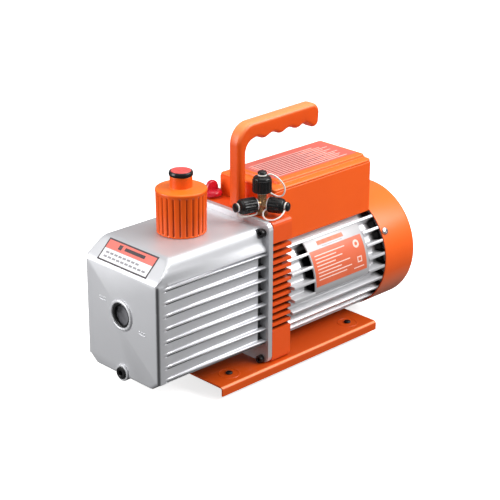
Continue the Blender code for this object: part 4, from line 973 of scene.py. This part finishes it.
def make_tee():
    origin, _ = port("left")
    column = in_mm((0, -22.6), (5.6, -22.6), (5.6, -7.0), (5.2, -6.6), (5.2, 4.6), (0, 4.6))
    parts = []
    for name in CAP_LENGTHS:
        start, outward = port(name)
        profile = in_mm((0, -2), (5.0, -2), (5.0, 8.0))
        for k in range(9):
            profile += in_mm((5.0, 8.4 + k), (4.55, 8.9 + k))
        profile += in_mm((4.6, 17.8), (3.0, 18), (2.6, 12), (0, 12))
        parts.append(turned(profile, 40, start, outward))
    nut = arc(origin.x, origin.y, 6.9 * MM, 0, 300, 5)
    parts.append(slab(nut, "Z", MODULE_TOP + CLEARANCE, MODULE_TOP + 5.4 * MM, 0.6 * MM, 3))
    tee = carved(turned(eased(column, 0.5 * MM), 40, origin), parts, "UNION")
    put("brass_tee", tee, "brass", stands_for="intake_fitting", sharp=40)


def make_intake():
    for name in CAP_LENGTHS:
        make_port_cap(name)
        make_strap(name)
    make_tee()


def make_knob():
    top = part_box("gas_ballast_knob")[1].z
    half = 8.5 * MM
    shoulder = MODULE_TOP + 12 * MM
    skirt = ((0, -9), (4, -9), (4, 2.6), (11.2, 2.6), (12, 3.6), (12, 6.0), (10.6, 8.2), (7.2, 8.9), (0, 9.0))
    knob = turned(in_mm(*eased(skirt, 0.9, 4)), 64, (KNOB.x, KNOB.y, MODULE_TOP))
    wing = [(KNOB.x - half, MODULE_TOP + 6.6 * MM), (KNOB.x + half, MODULE_TOP + 6.6 * MM)]
    wing.append((KNOB.x + half * 0.98, shoulder))
    for t in range(20, 161, 14):
        a = radians(t)
        wing.append((KNOB.x + half * 0.9 * cos(a), top - half * 0.86 + half * 0.86 * sin(a)))
    wing.append((KNOB.x - half * 0.98, shoulder))
    knob = carved(knob, [slab(wing, "Y", KNOB.y - 2.6 * MM, KNOB.y + 2.6 * MM, 1.3 * MM, 4)], "UNION")
    put("winged_knob", knob, "red", "gas_ballast_knob", stands_for="gas_ballast_knob",
        sharp=46)


# Motor and cover --------------------

FINS = 28
FIN_TIP, FIN_ROOT, BORE = 71.5 * MM, 62.0 * MM, 56.0 * MM
FIRST_FIN = 4.2
# Across a fin: distance from its middle in mm, and share of its height
FIN_SHAPE = ((-4.9, 0), (-3.1, 0.012), (-2.45, 0.08), (-2.15, 0.3), (-1.78, 0.9), (-1.5, 0.985), (-0.8, 1),
             (0.8, 1), (1.5, 0.985), (1.78, 0.9), (2.15, 0.3), (2.45, 0.08), (3.1, 0.012), (4.9, 0))
PAD_START, PAD_END = 134.0, 185.5
PAD_FRONT, PAD_REAR = TANK_FRONT + 224.6 * MM, TANK_FRONT + 316 * MM
PAD_RADIUS = 70.8 * MM


def around_shaft(radius, angle, x):
    return Vector((x, radius * cos(angle), SHAFT_Z + radius * sin(angle)))


def make_housing():
    start, end = HOUSING[0].x, HOUSING[1].x
    front, rear = PAD_FRONT, PAD_REAR

    def ring(x, tip, dip, beside, below):
        """Outline at x; dip deepens all floors, beside those at the pad, and below clips the fins there."""
        points = []
        for k in range(FINS):
            centre = radians(FIRST_FIN + k * 360 / FINS)
            for step, share in FIN_SHAPE:
                angle = centre + step * MM / FIN_TIP
                at_pad = PAD_START < angle * 180 / pi % 360 < PAD_END + 1
                top = min(tip, PAD_RADIUS - 1.4 * MM) if below and at_pad else tip
                root = FIN_ROOT - (dip or beside * at_pad) * 4.2 * MM
                radius = root + (top - root) * share
                points.append(around_shaft(radius, centre + step * MM / radius, x))
        return points

    stations = [(start, FIN_TIP - 0.5 * MM, 0, 0, 0), (start + 0.5 * MM, FIN_TIP, 0, 0, 0),
                (front - 9.5 * MM, FIN_TIP, 0, 0, 0), (front - 7 * MM, FIN_TIP, 0, 1, 0),
                (front - 0.2 * MM, FIN_TIP, 0, 1, 0), (front + 0.3 * MM, FIN_TIP, 0, 1, 1),
                (rear - 0.3 * MM, FIN_TIP, 0, 1, 1), (rear + 0.2 * MM, FIN_TIP, 0, 0, 0),
                (COVER_FRONT - 12 * MM, FIN_TIP, 0, 0, 0), (COVER_FRONT - 10 * MM, FIN_TIP, 1, 0, 0),
                (COVER_FRONT - 0.6 * MM, FIN_TIP, 1, 0, 0), (COVER_FRONT - 0.3 * MM, 70.6 * MM, 1, 0, 0),
                (COVER_FRONT + 4 * MM, 70.6 * MM, 0, 0, 0), (end, 70.6 * MM, 0, 0, 0)]
    outside = [ring(*station) for station in stations]
    inside = [[around_shaft(BORE, atan2(p.z - SHAFT_Z, p.y), x) for p in outside[0]] for x in (end, start)]
    put("finned_housing", skin(outside + inside, wrap=True), "fins",
        stands_for="motor_housing", sharp=40)

    rings = []
    for x, drop, trim in ((front, 0.7, 0.6), (front + 0.3 * MM, 0.25, 0.15), (front + 1.0 * MM, 0, 0),
                          (rear - 1.0 * MM, 0, 0), (rear - 0.3 * MM, 0.25, 0.15), (rear, 0.7, 0.6)):
        a0, a1 = radians(PAD_START + trim), radians(PAD_END - trim)
        radius = PAD_RADIUS - drop * MM
        top = [around_shaft(radius, a0 + (a1 - a0) * k / 24, x) for k in range(25)]
        top[0] = around_shaft(radius - 0.4 * MM, a0, x)
        top[-1] = around_shaft(radius - 0.4 * MM, a1, x)
        under = [around_shaft(PAD_RADIUS - 1.4 * MM, a1 + (a0 - a1) * k / 24, x) for k in range(25)]
        rings.append(top + under)
    put("name_plate_pad", skin(rings), "pad", sharp=50)
    make_name_plate()


def make_name_plate():
    def place(u, v, lift):
        return around_shaft(PAD_RADIUS + lift + INK_LIFT, pi - v / PAD_RADIUS, TANK_FRONT + u)

    left, right, low, high = 226.4, 311.6, 1.6, 43.2
    items = [("brick", left, right, low, high, 0.14)]
    items += rows_of_bars("pale_ink", left + 5, right - 25, low + 7.5, high - 6.5, 1.2,
                          (0.9, 0.62, 0.78, 0.55, 0.97, 0.7, 1.0, 0.84), 0.2)
    items += [("pale_ink", right - 22, right - 5, low + 4.6, low + 5.8, 0.2),
              ("pale_ink", right - 15, right - 7.4, low + 10.5, low + 17.5, 0.2),
              ("brick", right - 13.6, right - 8.8, low + 11.9, low + 16.1, 0.24),
              ("orange_ink", 243, 286, high + 4.2, high + 9.4, 0.1),
              ("grey_ink", 249, 282, high + 1.9, high + 2.6, 0.1)]
    label("name_plate", place, items, cell=4)
    rings = []
    for radius, lift in ((2.2, 0.12), (2.2, 0.24), (4.8, 0.24), (4.8, 0.12)):
        circle = arc((right - 12) * MM, (high - 9) * MM, radius * MM, 0, 360, 32)[:-1]
        rings.append([place(u, v, lift * MM) for u, v in circle])
    put("name_plate_badge", skin(rings, wrap=True), "pale_ink", sharp=60)


def make_cover():
    wall = 1.4 * MM
    length = COVER_REAR - COVER_FRONT
    back, within = length - wall, COVER_RADIUS - wall
    outer = eased(((0, length), (COVER_RADIUS, length), (COVER_RADIUS, 0)), 5.6 * MM, 7)[1:-1]
    inner = eased(((0, back), (within, back), (within, 0)), 4.4 * MM, 7)[1:-1]
    lip = eased(((COVER_RADIUS, 2 * MM), (COVER_RADIUS, 0), (within, 0), (within, 2 * MM)), 0.5 * MM)
    profile = [(0, length), (20 * MM, length), (60 * MM, length), *outer, *lip, *reversed(inner)]
    profile += [(60 * MM, back), (20 * MM, back), (0, back)]
    cuts = []
    for inner_radius, outer_radius, count, fill in ((14, 26, 6, 0.78), (31, 43, 8, 0.8), (48, 58, 12, 0.82)):
        half = 180 / count * fill
        for k in range(count):
            centre = 360 / count * k
            line = arc(0, SHAFT_Z, outer_radius * MM, centre - half, centre + half, 8)
            line += arc(0, SHAFT_Z, inner_radius * MM, centre + half, centre - half, 8)
            cuts.append(slab(eased(line, 1.6 * MM, 3, True), "X", COVER_REAR - 4 * MM, COVER_REAR + 1 * MM))
    for k in RIM_SCREWS:
        cuts.append(rod(2.6, -4, 2, 16, *rim_seat(k)))
    shell = carved(turned(profile, 144, (COVER_FRONT, 0, SHAFT_Z), REARWARD), cuts)
    put("cover_shell", shell, "cover_paint", stands_for="fan_cover", sharp=40)


# Box, handle, base --------------------


def make_lid():
    low, high = LID[0].z, LID[1].z
    front, rear, half = LID[0].x, LID[1].x, LID[1].y
    rings = []
    for inset, z in ((0.5, -0.35), (0.2, 0), (0, 0.3), (0, 1.5), (0.25, 2.2), (0.9, 2.9), (1.9, 3.3),
                     (4.0, 3.6), (5.6, 3.75)):
        inset *= MM
        shape = rounded_rectangle(front + inset, rear - inset * 0.3, -half + inset, half - inset, 3 * MM)
        rings.append([Vector((x, y, low + z * MM)) for x, y in shape])
    start, stop, wide = TANK_FRONT + 200 * MM, TANK_FRONT + 341 * MM, 34.6 * MM
    for inset, z in ((-1.9, 4.1), (-1.4, 4.15), (-1.15, 4.4), (-0.85, 6.0), (-0.6, 6.9), (-0.1, 7.5),
                     (0.7, 7.85), (1.6, 7.9)):
        inset *= MM
        shape = rounded_rectangle(start + inset, stop - inset, -wide + inset, wide - inset, 3 * MM)
        rings.append([Vector((x, y, low + z * MM)) for x, y in shape])
    for ring in rings:
        for point in ring:
            point.x = min(max(point.x, front), rear)
            point.z = min(point.z, high)
    put("lid_shell", skin(rings), "paint", stands_for="box_lid", sharp=50)

    def place(u, v, lift):
        return Vector((TANK_FRONT + u, v, high + lift + INK_LIFT))

    left, right = 202.5, 337.5
    items = [("rose", left, right, -26.5, 32.6, 0.12)]
    items += rows_of_bars("pale_ink", left + 6, right - 9, -22.5, 21, 1.2,
                          (0.86, 0.93, 1.0, 0.9, 0.97, 0.88, 0.99, 0.92, 0.95, 0.9, 0.97), 0.17)
    items += rows_of_bars("maroon", left + 12, right - 34, -20.4, 18.9, 1.9,
                          (0.9, 0.75, 1.0, 0.82, 0.94, 0.7, 0.98, 0.86, 0.6, 0.92), 0.17)
    label("lid_label", place, items, cell=20)


def make_handle():
    low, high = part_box("handle")
    front, rear, foot, top = low.x, high.x, low.z, high.z
    post = front + 12.5 * MM
    under = top - 22.7 * MM
    outline = [(front, foot)]
    outline += arc(front + 24 * MM, top - 2 * MM - 24 * MM, 24 * MM, 180, 90, 12)
    outline += arc(rear - 12.5 * MM, top - 12.5 * MM, 12.5 * MM, 90, 5, 8)
    outline += arc(rear - 8.2 * MM, under + 1.6 * MM, 7.6 * MM, 0, -120, 8)
    pitch = 26 * MM
    for k in range(49):
        along = 3 * pitch * (1 - k / 48)
        outline.append((post + 16.2 * MM + along, under + 1.8 * MM * cos(2 * pi * along / pitch)))
    outline += arc(post + 15 * MM, under + 1.2 * MM - 15 * MM, 15 * MM, 100, 180, 9)
    outline.append((post, foot))
    grip = slab(outline, "Y", -8.5 * MM, 8.5 * MM, 4.8 * MM, 6)
    put("grip", grip, "grip", stands_for="handle", sharp=48)


def make_base():
    for k in (1, 2, 3, 4):
        low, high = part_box(f"foot_{k}")
        x, y = (low.x + high.x) / 2, (low.y + high.y) / 2
        profile = in_mm(*eased(((10.4, -0.5), (10.9, 0.35), (12.2, 0.35), (12.7, -0.5)), 0.4))
        put(f"base_ring_{k}", turned(profile, 56, (x, y, BASE_TOP), wrap=True), "base_paint")


# CAD nodes that stay --------------------

KEPT = {
    "paint": ("electrical_box",),
    "base_paint": ("base_plate",),
    "module": ("pump_module",),
    "orange_plastic": ("exhaust_spigot",),
    "cast": ("tank_flange", "motor_end_bell"),
    "rubber": ("foot_1", "foot_2", "foot_3", "foot_4"),
    "black_plastic": ("capacitor", "power_inlet", "rocker_switch", "cooling_fan"),
    "felt": ("mist_filter",),
    "cast_iron": ("pump_cylinder", "pump_end_cover"),
    "steel": ("exhaust_valve", "pump_rotor", "motor_shaft", "motor_rotor", "shaft_coupling", "bearing_front",
              "bearing_rear"),
    "vane": ("vane_1", "vane_2"),
    "copper": ("motor_stator",),
}
EDGES = {"base_plate": 0.4, "pump_module": 0.5, "electrical_box": 1.3, "tank_flange": 1.0,
         "power_inlet": 0.5, "rocker_switch": 0.6, "foot_1": 0.5, "foot_2": 0.5, "foot_3": 0.5, "foot_4": 0.5}


def dress_nodes():
    for look, names in KEPT.items():
        for name in names:
            node = frame["nodes"][name]
            node.data.materials.clear()
            node.data.materials.append(LOOKS[look])
            weld = node.modifiers.new("weld", "WELD")
            weld.merge_threshold = 0.01 * MM
            if name in EDGES:
                soften = node.modifiers.new("soften", "BEVEL")
                soften.width = EDGES[name] * MM
                soften.segments = 3
                soften.limit_method = "ANGLE"
                soften.angle_limit = radians(40)
                normals = node.modifiers.new("normals", "WEIGHTED_NORMAL")
                normals.keep_sharp = True


make_camera()
make_stage()
LOOKS = make_materials()
dress_nodes()
make_tank()
make_window()
make_screws()
make_drain()
make_exhaust()
make_intake()
make_knob()
make_housing()
make_cover()
make_lid()
make_handle()
make_base()
